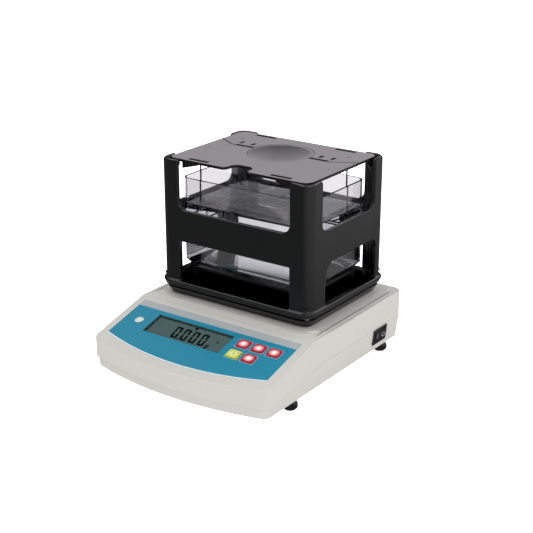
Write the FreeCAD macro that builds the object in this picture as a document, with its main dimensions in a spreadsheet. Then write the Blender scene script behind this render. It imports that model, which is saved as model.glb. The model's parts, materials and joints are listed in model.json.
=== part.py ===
"""Benchtop density meter: a balance that carries a four-post measuring frame over a fixed water tank.

Units are millimetres.  The origin lies on the floor under the middle of the bounding box, +Z is up and
the sloping front panel faces -Y.  Every size is a cell of the sheet "dim"; the shapes read it by
expression, so a changed cell moves everything that depends on it.
"""
import FreeCAD, Part
import os
import Sketcher

doc = FreeCAD.newDocument("DensityMeter")

# ---------------------------------------------------------------------------------------------------
# Driving dimensions
# ---------------------------------------------------------------------------------------------------
SIZES = {
    # balance housing
    "case_width": 200,              # overall width of both housing shells
    "case_depth": 245,              # from the middle of the bowed front to the rear wall
    "front_bulge": 15,              # how far the front bows out past its corners
    "case_corner": 9,               # radius of the upright corners
    "case_wall": 2.5,               # moulded wall thickness
    "edge_bevel": 1.3,              # bevel of the top edges
    "case_draft": 7,                # degrees, lower shell tapers in towards the floor
    "foot_height": 10,              # floor to the underside of the housing
    "seam_front": 20,               # height of the parting line along the front
    "seam_rear": 33,                # height of the level rear stretch of the parting line
    "seam_run": 87,                 # length over which the parting line climbs
    "panel_front_height": 39.6,     # height of the panel at the front corners
    "panel_run": 71.7,              # plan length of the sloping panel at its sides
    "shoulder_height": 58.6,        # height of the flat behind the panel
    "plateau_step": 2,              # raised seat for the drip tray
    "plateau_side": 8.2,            # shoulder left beside the plateau
    "plateau_front": 11.7,          # shoulder left in front of the plateau
    "plateau_rear": 6,              # shoulder left behind the plateau
    "screw_boss": 3.5,              # radius of the screw bosses
    "screw_radius": 1.5,            # case, board and tray screws
    "screw_head": 2.8,
    "case_screw_side": 12,          # screw boss axis in from the side walls
    "case_screw_front": 24,         # screw boss axis behind the front corners
    "case_screw_rear": 12,          # screw boss axis in from the rear wall
    # front panel, measured in its own sloping plane from the front corner line
    "overlay_width": 182,
    "overlay_top": 66.8,
    "overlay_side_low": 10.4,       # where the bowed lower edge meets the sides
    "overlay_bow": 13.8,            # how far the lower edge bows towards the front
    "overlay_film": 0.5,
    "overlay_gap": 0.2,
    "window_left": -60.8,
    "window_right": 27.2,
    "window_low": 25.5,
    "window_high": 52.5,
    "window_lens": 1,
    "window_ledge": 2,              # how far the lens reaches under the film
    "lcd_thickness": 3,
    "key_wide": 12.5,
    "key_tall": 10.5,
    "key_round": 2,
    "key_rise": 0.9,                # height of a key above the film
    "key_gap": 0.25,                # play round a key
    "key_travel": 0.4,
    "key_flange": 1,                # retaining flange under the panel
    "key_ledge": 0.8,               # how far the flange reaches out
    "key_first": 42,                # first key column
    "key_pitch": 16.75,             # column to column
    "key_row_high": 45.6,
    "key_row_pitch": 15.8,
    "switch_size": 6,               # square tactile switch
    "switch_height": 3.4,
    "board_thick": 1.6,
    "level_across": -74.5,
    "level_up": 37.7,
    "level_radius": 4.6,
    "level_wall": 1,
    "level_deep": 6,
    # power switch and rear connectors
    "rocker_seat_y": 79.5,
    "rocker_seat_z": 24.5,
    "bezel_long": 23.5,
    "bezel_high": 15.5,
    "bezel_lip": 1.3,
    "bezel_wall": 1.6,
    "bezel_deep": 14,
    "rocker_gap": 0.35,
    "rocker_tilt": 7,               # degrees, half of the throw
    "rocker_pin": 1.2,
    "jack_across": -60,
    "jack_radius": 4,
    "jack_bore": 3,
    "port_across": -20,
    "port_wide": 30.8,
    "port_high": 12.5,
    "port_lift": 22,                # height of the rear connectors
    # levelling feet
    "foot_side": 90,                # foot axis from the middle
    "foot_front": -59.5,
    "foot_rear": 97.5,
    "foot_radius": 7,
    "foot_disc": 6,
    "foot_chamfer": 2,
    "foot_stud": 3,
    "foot_fit": 0.06,
    "foot_travel": 3,
    "insert_radius": 5,
    "insert_length": 12,
    "boss_wall": 2,
    # balance mechanism
    "tower_y": 42,                  # middle of everything above the housing
    "cell_length": 110,
    "cell_wide": 26,
    "cell_high": 20,
    "cell_bottom": 22,
    "cell_end": 30,                 # solid end blocks of the load cell
    "cell_eye": 8.5,                  # radius of the thinned flexure bores
    "base_thick": 6,
    "weigh_gap": 0.6,               # rest gap over the load cell
    "arm_thick": 3,
    "hub_radius": 8,
    "hub_opening": 13,              # opening in the housing and the drip tray
    "spider_half_x": 44,
    "spider_half_y": 30,
    "spider_bar": 9,
    "spider_thick": 3,
    "cushion_radius": 6,
    "cushion_thick": 2.2,
    # drip tray on the housing
    "drip_half_x": 85,
    "drip_half_y": 65,
    "drip_round": 12,
    "drip_flare": 4.5,
    "drip_rim": 7.4,
    "drip_floor": 2.4,
    "drip_wall": 2,
    "drip_collar": 1.5,             # height of the collars on the drip tray
    # weighed tray and frame
    "tray_drop": 2.5,               # shadow gap between drip tray and weighed tray
    "tray_thick": 2.5,
    "tray_half_x": 86.5,
    "tray_half_y": 67,
    "tray_round": 13,
    "frame_width": 170,
    "frame_deep": 131,
    "frame_round": 11,
    "frame_wall": 4,
    "flange_out": 2.6,
    "flange_in": 6,
    "frame_edge": 1.8,              # bevel of the post tops
    "frame_boss": 4,
    "frame_boss_in": 6,             # screw boss axis in from the outer faces
    "frame_boss_high": 8,
    "flange_high": 3.5,
    "frame_top": 195.6,
    "post_front": 22,               # width of a post seen from the front
    "upper_side_front": 21,         # front post seen from the side, above the band
    "upper_side_rear": 20.1,
    "lower_side_front": 27.7,       # the same below the band
    "lower_side_rear": 14.8,
    "band_low": 116.5,
    "band_high": 148,
    "window_round": 9,              # lower corners of the upper windows
    "arch_front": 15,               # upper front corner of the lower side windows
    "arch_rear": 9,
    "shelf_thick": 3,
    "shelf_leg": 17,
    "rest_gap": 0.3,
    # measuring table
    "table_thick": 2.6,
    "table_gap": 2.4,
    "table_round": 8,
    "table_foot": 3.2,
    "table_foot_in": 5.4,            # foot centres in from the table's edges
    "dish_back": 11,                # dish centre behind the middle of the tower
    "dish_radius": 30.6,
    "dish_land": 1.8,
    "dish_deep": 7,
    "dish_wall": 2,
    "seam_gap": 0.5,
    "seam_wide": 1.5,               # widened stretch of the seam next to the dish
    "seam_wide_end": 52,
    "seam_back": 11.8,              # seam behind the middle of the tower
    "seam_bend_x": 57,
    "seam_side_back": 24.2,         # where the seam meets the side edges
    "notch_half": 12,
    "notch_deep": 15,
    "notch_flare": 5,
    "notch_round": 8,
    "edge_slot_inner": 35,
    "edge_slot_outer": 57.4,
    "edge_slot_wide": 1.4,
    "edge_slot_inset": 4.5,
    "tongue_inner": 39.1,
    "tongue_outer": 52.3,
    "tongue_back": 22.5,
    "tongue_slot_long": 6,
    "tongue_slot_wide": 2,
    "tongue_wide": 1.4,
    "tongue_thick": 1.8,
    "pin_radius": 0.9,
    "front_pin_x": 67.6,
    "front_pin_back": -9.8,
    "rear_pin_x": 61.2,
    "rear_pin_back": 34.8,
    "tab_thick": 2.4,
    "tab_deep": 6,
    "tab_long": 18,
    "tab_thin": 1,
    # water tank and its table
    "tank_width": 146,
    "tank_deep": 97,
    "tank_high": 86.3,
    "tank_bottom": 88,
    "tank_wall": 2,
    "tank_round": 9,
    "tank_foot_bevel": 4.5,
    "pad_thick": 2,
    "pad_radius": 4.5,
    "bench_thick": 3,
    "bench_rail": 13,
    "bench_inset": 3,               # bench edge in from the tank wall
    "stem_radius": 4,
    "stem_half_x": 64,
    "stem_half_y": 40,
    "stem_clear": 3,                # ring gap where a stem passes the weighed tray
    "collar_wall": 1.5,
    "collar_high": 2,
    "finger_reach": 13,
    "finger_wide": 5,
    "finger_thick": 3,
    "finger_drop": 8.6,
    # sample basket
    "wire_radius": 0.8,
    "basket_half_x": 62,
    "basket_half_y": 31.5,
    "basket_floor": 120,
    "basket_rail": 9,
    "hook_block": 7,
    # electronics
    "board_x": -30,
    "board_y": 70,
    "board_wide": 90,
    "board_deep": 40,
    "standoff": 6,
}

sheet = doc.addObject("Spreadsheet::Sheet", "dim")
for row, (alias, number) in enumerate(SIZES.items(), start=1):
    sheet.set(f"A{row}", alias.replace("_", " "))
    sheet.set(f"B{row}", str(number))
    sheet.setAlias(f"B{row}", alias)
doc.recompute()

# Lengths and places that follow from the driving dimensions.
REAR = "(dim.case_depth / 2)"
FRONT = "(dim.front_bulge - dim.case_depth / 2)"
NOSE = "(-dim.case_depth / 2)"
SLOPE = "atan((dim.shoulder_height - dim.panel_front_height) / dim.panel_run)"
KNEE = f"({FRONT} + dim.seam_run)"
BOW = "(((dim.case_width / 2)^2 + dim.front_bulge^2) / (2 * dim.front_bulge))"
PLATEAU = "(dim.shoulder_height + dim.plateau_step)"
CASE_FLOOR = "(dim.foot_height + dim.case_wall)"
DRIP_TOP = f"({PLATEAU} + dim.drip_rim)"
TRAY_LOW = f"({DRIP_TOP} + dim.tray_drop)"
TRAY_TOP = f"({TRAY_LOW} + dim.tray_thick)"
TABLE_LOW = "(dim.frame_top - dim.table_thick)"
SHELF_TOP = f"({TABLE_LOW} - dim.tab_deep - dim.rest_gap)"
BENCH_TOP = "(dim.tank_bottom - dim.pad_thick)"
DRIP_FLOOR_TOP = f"({PLATEAU} + dim.drip_floor)"
CELL_TOP = "(dim.cell_bottom + dim.cell_high)"
TABLE_HALF_X = "(dim.frame_width / 2 - dim.frame_wall - dim.table_gap)"
TABLE_HALF_Y = "(dim.frame_deep / 2 - dim.frame_wall - dim.table_gap)"
KEY_LOW = "(-dim.case_wall - dim.rest_gap - dim.key_flange)"
SWITCH_TOP = f"({KEY_LOW} - dim.key_travel - dim.rest_gap)"
KEYPAD_TOP = f"({SWITCH_TOP} - dim.switch_height)"


PEG_SIDES = 8           # sides of screws, bosses, pads and other small hidden round parts
SCREW_SIDES = 6
ROUND_SIDES = 24        # sides of small round parts that show, and of the dish


# ---------------------------------------------------------------------------------------------------
# Helpers: each makes one kind of document object whose sizes are bound to the sheet
# ---------------------------------------------------------------------------------------------------
def value(expression):
    """Number that an expression stands for, in millimetres or degrees."""
    result = probe.evalExpression(expression)
    return float(getattr(result, "Value", result))


def bind(thing, **expressions):
    for path, expression in expressions.items():
        thing.setExpression(path.replace("__", "."), expression)
    return thing


def put(thing, x="0", y="0", z="0", axis=None, angle="0"):
    """Place an object: a shift, and if need be a turn about one axis."""
    if axis:
        thing.Placement = FreeCAD.Placement(FreeCAD.Vector(), FreeCAD.Rotation(axis, 1))
        thing.setExpression("Placement.Rotation.Angle", angle)
    return bind(thing, Placement__Base__x=x, Placement__Base__y=y, Placement__Base__z=z)


def box(name, x, y, z, long, deep, high):
    thing = doc.addObject("Part::Box", name)
    return put(bind(thing, Length=long, Width=deep, Height=high), x, y, z)


def rod(name, radius, length, x="0", y="0", z="0", axis=None, angle="0"):
    thing = doc.addObject("Part::Cylinder", name)
    return put(bind(thing, Radius=radius, Height=length), x, y, z, axis, angle)


def peg(name, radius, length, x="0", y="0", z="0", axis=None, angle="0", sides=PEG_SIDES):
    """Small round part or hole, drawn with a few flat sides so that its mesh stays light."""
    thing = doc.addObject("Part::Prism", name)
    thing.Polygon = sides
    return put(bind(thing, Circumradius=radius, Height=length), x, y, z, axis, angle)


def fuse(name, *pieces):
    thing = doc.addObject("Part::MultiFuse", name)
    thing.Shapes = list(pieces)
    return thing


def cut(name, base, *tools):
    thing = doc.addObject("Part::Cut", name)
    thing.Base = base
    thing.Tool = tools[0] if len(tools) == 1 else fuse(name + "_tools", *tools)
    return thing


def common(name, *pieces):
    thing = doc.addObject("Part::MultiCommon", name)
    thing.Shapes = list(pieces)
    return thing


def group(name, *pieces):
    """Several separate solids that share one node."""
    thing = doc.addObject("Part::Compound", name)
    thing.Links = list(pieces)
    return thing


def new_body(name):
    return doc.addObject("PartDesign::Body", name)


def sketch(body, plane, height="0"):
    """Empty sketch on one of the body's own origin planes, shifted along its normal."""
    drawn = body.newObject("Sketcher::SketchObject", body.Name + "_sketch")
    drawn.AttachmentSupport = [(next(f for f in body.Origin.OriginFeatures if f.Role == plane), "")]
    drawn.MapMode = "FlatFace"
    drawn.setExpression("AttachmentOffset.Base.z", height)
    return drawn


def fix_point(drawn, geometry, end, across, up):
    spot = (value(across), value(up))
    for kind, number, expression in zip(("DistanceX", "DistanceY"), spot, (across, up)):
        index = drawn.addConstraint(Sketcher.Constraint(kind, -1, 1, geometry, end, number))
        drawn.setExpression(f"Constraints[{index}]", expression)


def polygon(drawn, corners, arcs=None):
    """Closed outline through counter-clockwise corners; arcs maps a side to its outward bow's radius
    (a radius that starts with a minus bows inwards)."""
    arcs = arcs or {}
    spots = [FreeCAD.Vector(value(across), value(up), 0) for across, up in corners]
    ends = []
    for side, start in enumerate(spots):
        stop = spots[(side + 1) % len(spots)]
        if side not in arcs:
            geometry = drawn.addGeometry(Part.LineSegment(start, stop))
            ends.append((geometry, 1, 2))
            continue
        inward = arcs[side].startswith("-")
        radius = arcs[side].lstrip("-")
        chord = stop - start
        left = FreeCAD.Vector(-chord.y, chord.x, 0).normalize()
        rise = max(value(radius) ** 2 - (chord.Length / 2) ** 2, 0) ** 0.5
        centre = (start + stop) / 2 + left * (-rise if inward else rise)
        first, last = (stop, start) if inward else (start, stop)
        middle = centre + (left * (value(radius) if inward else -value(radius)))
        geometry = drawn.addGeometry(Part.Arc(first, middle, last))
        ends.append((geometry, 2, 1) if inward else (geometry, 1, 2))
        index = drawn.addConstraint(Sketcher.Constraint("Radius", geometry, value(radius)))
        drawn.setExpression(f"Constraints[{index}]", radius)
    for (this, _, this_end), (after, after_start, _) in zip(ends, ends[1:] + ends[:1]):
        drawn.addConstraint(Sketcher.Constraint("Coincident", this, this_end, after, after_start))
    for (geometry, start_end, _), (across, up) in zip(ends, corners):
        fix_point(drawn, geometry, start_end, across, up)
    return drawn


def circle(drawn, across, up, radius):
    shape = Part.Circle(FreeCAD.Vector(value(across), value(up), 0), FreeCAD.Vector(0, 0, 1), value(radius))
    geometry = drawn.addGeometry(shape)
    index = drawn.addConstraint(Sketcher.Constraint("Radius", geometry, value(radius)))
    drawn.setExpression(f"Constraints[{index}]", radius)
    fix_point(drawn, geometry, 3, across, up)
    return drawn


def peg_outline(drawn, across, up, radius, sides=PEG_SIDES):
    """Outline of a peg, turned as Part::Prism turns it: its first corner lies on the X axis."""
    turns = [number * 360 / sides for number in range(sides)]
    return polygon(drawn, [(f"{across} + ({radius}) * cos({turn})", f"{up} + ({radius}) * sin({turn})")
                           for turn in turns])


def rectangle(drawn, left, right, low, high):
    return polygon(drawn, [(left, low), (right, low), (right, high), (left, high)])


def faceted_rectangle(drawn, left, right, low, high, radius):
    """Rectangle whose four small round corners are each drawn with three flat sides."""
    corners = []
    for across, up, start in ((f"({right} - {radius})", f"({low} + {radius})", 270),
                              (f"({right} - {radius})", f"({high} - {radius})", 0),
                              (f"({left} + {radius})", f"({high} - {radius})", 90),
                              (f"({left} + {radius})", f"({low} + {radius})", 180)):
        corners += [(f"{across} + {radius} * cos({start + turn})", f"{up} + {radius} * sin({start + turn})")
                    for turn in (0, 30, 60, 90)]
    return polygon(drawn, corners)


def round_rectangle(drawn, left, right, low, high, radius):
    """Rectangle with four corners of one radius."""
    inner_left, inner_right = f"{left} + {radius}", f"{right} - {radius}"
    inner_low, inner_high = f"{low} + {radius}", f"{high} - {radius}"
    corners = [(inner_left, low), (inner_right, low), (right, inner_low), (right, inner_high),
               (inner_right, high), (inner_left, high), (left, inner_high), (left, inner_low)]
    return polygon(drawn, corners, {1: radius, 3: radius, 5: radius, 7: radius})


def pad(body, drawn, length, taper=None, both=False, down=False):
    feature = body.newObject("PartDesign::Pad", body.Name + "_pad")
    feature.Profile = drawn
    feature.Midplane = both
    feature.Reversed = down
    feature.setExpression("Length", length)
    if taper:
        feature.setExpression("TaperAngle", taper)
    return feature


def pocket(body, drawn, length=None, taper=None, both=False, up=False):
    """Cut a sketch out of the body: to a depth, or all the way through when no length is given."""
    feature = body.newObject("PartDesign::Pocket", body.Name + "_pocket")
    feature.Profile = drawn
    feature.Midplane = both
    feature.Reversed = up
    if length:
        feature.setExpression("Length", length)
    else:
        feature.Type = "ThroughAll"
    if taper:
        feature.setExpression("TaperAngle", taper)
    return feature


def revolve(body, drawn):
    """Turn a sketch drawn in the XZ plane about the body's Z axis."""
    feature = body.newObject("PartDesign::Revolution", body.Name + "_turn")
    feature.Profile = drawn
    feature.ReferenceAxis = (drawn, ["V_Axis"])
    feature.Angle = 360
    return feature


def soften(body, size, chosen, kind="Chamfer"):
    """Chamfer, or fillet, the edges of the body's tip that a test accepts."""
    doc.recompute()
    tip = body.Tip
    names = [f"Edge{number}" for number, edge in enumerate(tip.Shape.Edges, start=1) if chosen(edge, tip.Shape)]
    feature = body.newObject(f"PartDesign::{kind}", f"{body.Name}_{kind.lower()}")
    feature.Base = (tip, names)
    feature.setExpression("Size" if kind == "Chamfer" else "Radius", size)
    return feature


def is_upright(edge, _shape):
    along = edge.Vertexes[-1].Point - edge.Vertexes[0].Point
    return abs(along.z) > 0.9 * edge.Length


def is_top_rim(edge, shape):
    """True where an upright face meets one that looks up."""
    lifts = []
    middle = edge.valueAt((edge.FirstParameter + edge.LastParameter) / 2)
    for face in shape.ancestorsOfType(edge, Part.Face):
        lifts.append(face.normalAt(*face.Surface.parameter(middle)).z)
    return len(lifts) == 2 and abs(min(lifts)) < 0.2 and max(lifts) > 0.9


def at_height(level):
    """Test for edges that lie wholly in one level plane."""
    return lambda edge, _shape: all(abs(v.Point.z - value(level)) < 1e-4 for v in edge.Vertexes)


probe = doc.addObject("App::FeaturePython", "probe")
PIECES = []


def piece(thing, label=None):
    """Finish one sub-part: its label is its node's name."""
    thing.Label = label or thing.Name
    PIECES.append(thing)
    return thing


def on_panel(thing, x="0", along="0", lift="0"):
    """Place something drawn flat (x across, y up the panel, z out of it) on the sloping panel."""
    y = f"{FRONT} + ({along}) * cos({SLOPE}) - ({lift}) * sin({SLOPE})"
    z = f"dim.panel_front_height + ({along}) * sin({SLOPE}) + ({lift}) * cos({SLOPE})"
    return put(thing, x, y, z, FreeCAD.Vector(1, 0, 0), SLOPE)


# ---------------------------------------------------------------------------------------------------
# Housing shells
# ---------------------------------------------------------------------------------------------------
def case_outline(drawn, inset):
    """Plan of the housing, drawn in all round by inset: straight sides, a bowed front, round corners."""
    half, rear = f"(dim.case_width / 2 - ({inset}))", f"({REAR} - ({inset}))"
    bow, corner = f"({BOW} - ({inset}))", f"(dim.case_corner - ({inset}))"
    side, back = f"({half} - {corner})", f"({rear} - {corner})"
    reach = f"({bow} - {corner})"
    drop = f"sqrt({reach}^2 - {side}^2)"            # bow centre to the centres of the front corners
    front = f"({NOSE} + {BOW} - {drop})"
    bow_x, bow_y = f"({side} * {bow} / {reach})", f"({NOSE} + {BOW} - {drop} * {bow} / {reach})"
    return polygon(drawn, [(f"-{bow_x}", bow_y), (bow_x, bow_y), (half, front), (half, back), (side, rear),
                           (f"-{side}", rear), (f"-{half}", back), (f"-{half}", front)],
                   {0: bow, 1: corner, 3: corner, 5: corner, 7: corner})


def upper_block(name, inset, floor_line):
    """Upper housing form, drawn in by inset: panel, shoulder and plateau over the plan outline."""
    body = new_body(name)
    front, rear = f"({NOSE} + ({inset}))", f"({REAR} - ({inset}))"
    top = f"(dim.shoulder_height - ({inset}))"
    panel_start = f"(dim.panel_front_height - ({inset}) / cos({SLOPE}))"
    panel_front = f"({panel_start} + ({front} - {FRONT}) * tan({SLOPE}))"
    panel_end = f"({FRONT} + ({top} - {panel_start}) / tan({SLOPE}))"
    corners = floor_line + [(rear, top), (panel_end, top), (front, panel_front)]
    pad(body, polygon(sketch(body, "YZ_Plane"), corners), "dim.case_width", both=True)
    ring = sketch(body, "XY_Plane")
    case_outline(ring, inset)
    spare = "(dim.case_width + dim.case_depth)"
    rectangle(ring, f"-{spare}", spare, f"-{spare}", spare)
    pocket(body, ring, both=True)
    plateau = sketch(body, "XY_Plane", top)
    half = f"(dim.case_width / 2 - dim.plateau_side - ({inset}))"
    plateau_low = f"({FRONT} + dim.panel_run + dim.plateau_front + ({inset}))"
    round_rectangle(plateau, f"-{half}", half, plateau_low, f"({REAR} - dim.plateau_rear - ({inset}))",
                    "dim.case_corner")
    pad(body, plateau, "dim.plateau_step", taper="-45")
    return body


def lower_block(name, floor, inset, extra):
    """Lower housing form: the plan outline, tapering in towards the floor."""
    body = new_body(name)
    drawn = sketch(body, "XY_Plane", floor)
    case_outline(drawn, f"({inset}) + (dim.seam_rear - {floor}) * tan(dim.case_draft)")
    pad(body, drawn, f"dim.seam_rear - {floor} + {extra}", taper="dim.case_draft")
    return body


def spots(name, make, places):
    """The same feature at several places."""
    return [make(f"{name}_{number}", x, y) for number, (x, y) in enumerate(places, start=1)]


SCREW_X = "(dim.case_width / 2 - dim.case_screw_side)"
CASE_SCREWS = [(x, y) for x in (f"-{SCREW_X}", SCREW_X)
               for y in (f"({FRONT} + dim.case_screw_front)", f"({REAR} - dim.case_screw_rear)")]
FEET = {"front_left": ("-dim.foot_side", "dim.foot_front"), "front_right": ("dim.foot_side", "dim.foot_front"),
        "rear_left": ("-dim.foot_side", "dim.foot_rear"), "rear_right": ("dim.foot_side", "dim.foot_rear")}
BOSS_JOIN = "(dim.seam_front + 6)"

# Panel openings, drawn flat and then laid on the slope as one tool.
film_cut = new_body("film_cut")


def overlay_outline(drawn, grow):
    half = f"(dim.overlay_width / 2 + {grow})"
    radius = f"(({half}^2 + dim.overlay_bow^2) / (2 * dim.overlay_bow))"
    low = f"dim.overlay_side_low - {grow}"
    high = f"dim.overlay_top + {grow}"
    corners = [(f"-{half}", low), (half, low), (half, high), (f"-{half}", high)]
    return polygon(drawn, corners, {0: radius})


def window_outline(drawn, grow):
    return rectangle(drawn, f"dim.window_left - {grow}", f"dim.window_right + {grow}",
                     f"dim.window_low - {grow}", f"dim.window_high + {grow}")


KEYS = {"key_top_left": (0, 0), "key_top_middle": (1, 0), "key_top_right": (2, 0),
        "key_bottom_left": (0, 1), "key_bottom_middle": (1, 1)}


def key_spot(column, line):
    return f"(dim.key_first + {column} * dim.key_pitch)", f"(dim.key_row_high - {line} * dim.key_row_pitch)"


def key_sides(column, line, grow):
    across, up = key_spot(column, line)
    wide, tall = f"(dim.key_wide / 2 + {grow})", f"(dim.key_tall / 2 + {grow})"
    return f"{across} - {wide}", f"{across} + {wide}", f"{up} - {tall}", f"{up} + {tall}"


def key_outline(drawn, column, line, grow):
    return faceted_rectangle(drawn, *key_sides(column, line, grow), f"(dim.key_round + {grow})")


def key_rectangle(drawn, column, line, grow):
    return rectangle(drawn, *key_sides(column, line, grow))


overlay_outline_sketch = sketch(film_cut, "XY_Plane", "1")
overlay_outline(overlay_outline_sketch, "dim.overlay_gap")
pad(film_cut, overlay_outline_sketch, "1 + dim.overlay_film", down=True)

lens_cut = new_body("lens_cut")
pad(lens_cut, window_outline(sketch(lens_cut, "XY_Plane"), "(dim.window_ledge + dim.overlay_gap)"),
    "dim.overlay_film + dim.window_lens", down=True)

through_cut = new_body("through_cut")
through_sketch = sketch(through_cut, "XY_Plane")
window_outline(through_sketch, "0")
for column, line in KEYS.values():
    key_rectangle(through_sketch, column, line, "dim.key_gap")
peg_outline(through_sketch, "dim.level_across", "dim.level_up", "dim.level_radius", ROUND_SIDES)
pad(through_cut, through_sketch, "3 * dim.case_wall", down=True)

panel_cut = on_panel(fuse("panel_cut", film_cut, lens_cut, through_cut))

upper_outer = upper_block("upper_outer", "0", [
    (NOSE, "dim.seam_front"), (FRONT, "dim.seam_front"), (KNEE, "dim.seam_rear"), (REAR, "dim.seam_rear")])
soften(upper_outer, "dim.edge_bevel", is_top_rim)
upper_cavity = upper_block("upper_cavity", "dim.case_wall", [
    (f"{NOSE} + dim.case_wall", "0"), (f"{REAR} - dim.case_wall", "0")])


def upper_boss(name, x, y):
    return peg(name, "dim.screw_boss", f"dim.shoulder_height - {BOSS_JOIN}", x, y, BOSS_JOIN)


# Posts under the panel that carry the keypad board.
KEYPAD_MIDDLE = "(dim.key_first + dim.key_pitch)"
KEYPAD_HALF_X = "(dim.key_pitch + dim.key_wide / 2 + 2)"
KEYPAD_LOW = "(dim.key_row_high - dim.key_row_pitch - dim.key_tall - 2)"
KEYPAD_HIGH = "(dim.key_row_high + dim.key_tall + 2)"
KEYPAD_POSTS = [(f"{KEYPAD_MIDDLE} + {side} * ({KEYPAD_HALF_X} - 3)", up)
                for side in (-1, 1) for up in (f"{KEYPAD_LOW} + 3", f"{KEYPAD_HIGH} - 3")]


def keypad_post(name, x, y):
    return peg(name, "2", f"-dim.case_wall - {KEYPAD_TOP} + 0.5", x, y, KEYPAD_TOP)


LCD_GROW = 3
LCD_LOW = "(-dim.case_wall - dim.lcd_thickness)"
LCD_EDGE = [(x, up) for x in ("(dim.window_left + 6)", "(dim.window_right - 6)")
            for up in (f"(dim.window_low - {2 * LCD_GROW})", f"(dim.window_high + {2 * LCD_GROW})")]


def display_post(name, x, y):
    return peg(name, "2", "dim.lcd_thickness + 0.5", x, y, LCD_LOW)


panel_posts = on_panel(fuse("panel_posts", *spots("keypad_post", keypad_post, KEYPAD_POSTS),
                            *spots("display_post", display_post, LCD_EDGE)))
upper_shell = cut("upper_shell", upper_outer, upper_cavity)
upper_bosses = common("upper_bosses", upper_outer, fuse("boss_rods", *spots("upper_boss", upper_boss, CASE_SCREWS)))
upper_solid = fuse("upper_solid", upper_shell, panel_posts, upper_bosses)


def pilot_hole(name, x, y):
    return peg(name, "dim.screw_radius", "10", x, y, f"{BOSS_JOIN} - 1")


DRIP_SCREWS = [(f"({side} * dim.spider_half_x)", f"(dim.tower_y + {end} * (dim.spider_half_y + 18))")
               for side in (-1, 1) for end in (-1, 1)]


def drip_pilot(name, x, y):
    return peg(name, "dim.screw_radius", "4 * dim.case_wall", x, y, f"{PLATEAU} - 3 * dim.case_wall")


hub_hole = peg("hub_hole", "dim.hub_opening", "4 * dim.case_wall", "0", "dim.tower_y",
               f"{PLATEAU} - 3 * dim.case_wall", sides=ROUND_SIDES)
upper_housing = piece(cut("upper_housing", upper_solid, panel_cut, hub_hole,
                          *spots("pilot_hole", pilot_hole, CASE_SCREWS),
                          *spots("drip_pilot", drip_pilot, DRIP_SCREWS)))

# Lower shell with its bosses.
lower_outer = lower_block("lower_outer", "dim.foot_height", "0", "0")
falling_seam = sketch(lower_outer, "YZ_Plane")
polygon(falling_seam, [(f"{NOSE} - 1", "dim.seam_front"), (FRONT, "dim.seam_front"), (KNEE, "dim.seam_rear"),
                       (KNEE, "dim.seam_rear + 1"), (f"{NOSE} - 1", "dim.seam_rear + 1")])
pocket(lower_outer, falling_seam, both=True)
lower_cavity = lower_block("lower_cavity", CASE_FLOOR, "dim.case_wall", "1")


def foot_boss(name, x, y):
    return peg(name, "dim.insert_radius + dim.boss_wall", "dim.insert_length + 1", x, y, f"{CASE_FLOOR} - 1")


def lower_boss(name, x, y):
    return peg(name, "dim.screw_boss", f"{BOSS_JOIN} - {CASE_FLOOR} + 1", x, y, f"{CASE_FLOOR} - 1")


def standoff(name, x, y):
    return peg(name, "dim.screw_boss", "dim.standoff + 1", x, y, f"{CASE_FLOOR} - 1")


BOARD_SCREWS = [(x, y) for x in ("(dim.board_x + 5)", "(dim.board_x + dim.board_wide - 5)")
                for y in ("(dim.board_y + 5)", "(dim.board_y + dim.board_deep - 5)")]
BASE_SCREWS = [(x, y) for x in ("(-dim.cell_length / 2 + 8)", "(dim.cell_length / 2 - 8)")
               for y in ("(dim.tower_y - dim.cell_wide / 2 - 6)", "(dim.tower_y + dim.cell_wide / 2 + 6)")]
BASE_LOW = "(dim.cell_bottom - 2 - dim.base_thick)"


def base_boss(name, x, y):
    return peg(name, "5", f"{BASE_LOW} - {CASE_FLOOR} + 1", x, y, f"{CASE_FLOOR} - 1")


lower_shell = cut("lower_shell", lower_outer, lower_cavity)
lower_solid = fuse("lower_solid", lower_shell, *spots("foot_boss", foot_boss, FEET.values()),
                   *spots("lower_boss", lower_boss, CASE_SCREWS), *spots("standoff", standoff, BOARD_SCREWS),
                   *spots("base_boss", base_boss, BASE_SCREWS))


def insert_hole(name, x, y):
    return peg(name, "dim.insert_radius", "dim.insert_length + 3", x, y, CASE_FLOOR)


def stud_hole(name, x, y):
    return peg(name, "dim.foot_stud + 0.5", "2 * dim.case_wall", x, y, "dim.foot_height - dim.case_wall / 2")


def screw_hole(name, x, y):
    return peg(name, "dim.screw_radius", BOSS_JOIN, x, y, "0")


def board_pilot(name, x, y):
    return peg(name, "dim.screw_radius", "dim.standoff", x, y, f"{CASE_FLOOR} + 0.5")


def head_hole(name, x, y):
    return peg(name, "dim.screw_head", "4", x, y, "dim.foot_height - 1")


SIDE_WALL_X = "(dim.case_width / 2 - (dim.seam_rear - dim.rocker_seat_z) * tan(dim.case_draft))"
REAR_WALL_Y = f"({REAR} - (dim.seam_rear - dim.port_lift) * tan(dim.case_draft))"


def on_side_wall(thing):
    """Place something drawn with x out of the wall, y along it and z up it on the right side wall."""
    return put(thing, SIDE_WALL_X, "dim.rocker_seat_y", "dim.rocker_seat_z",
               FreeCAD.Vector(0, 1, 0), "dim.case_draft")


def on_rear_wall(thing, across):
    """Place something drawn with y out of the wall and z up it on the rear wall."""
    return put(thing, across, REAR_WALL_Y, "dim.port_lift", FreeCAD.Vector(-1, 0, 0), "dim.case_draft")


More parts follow.
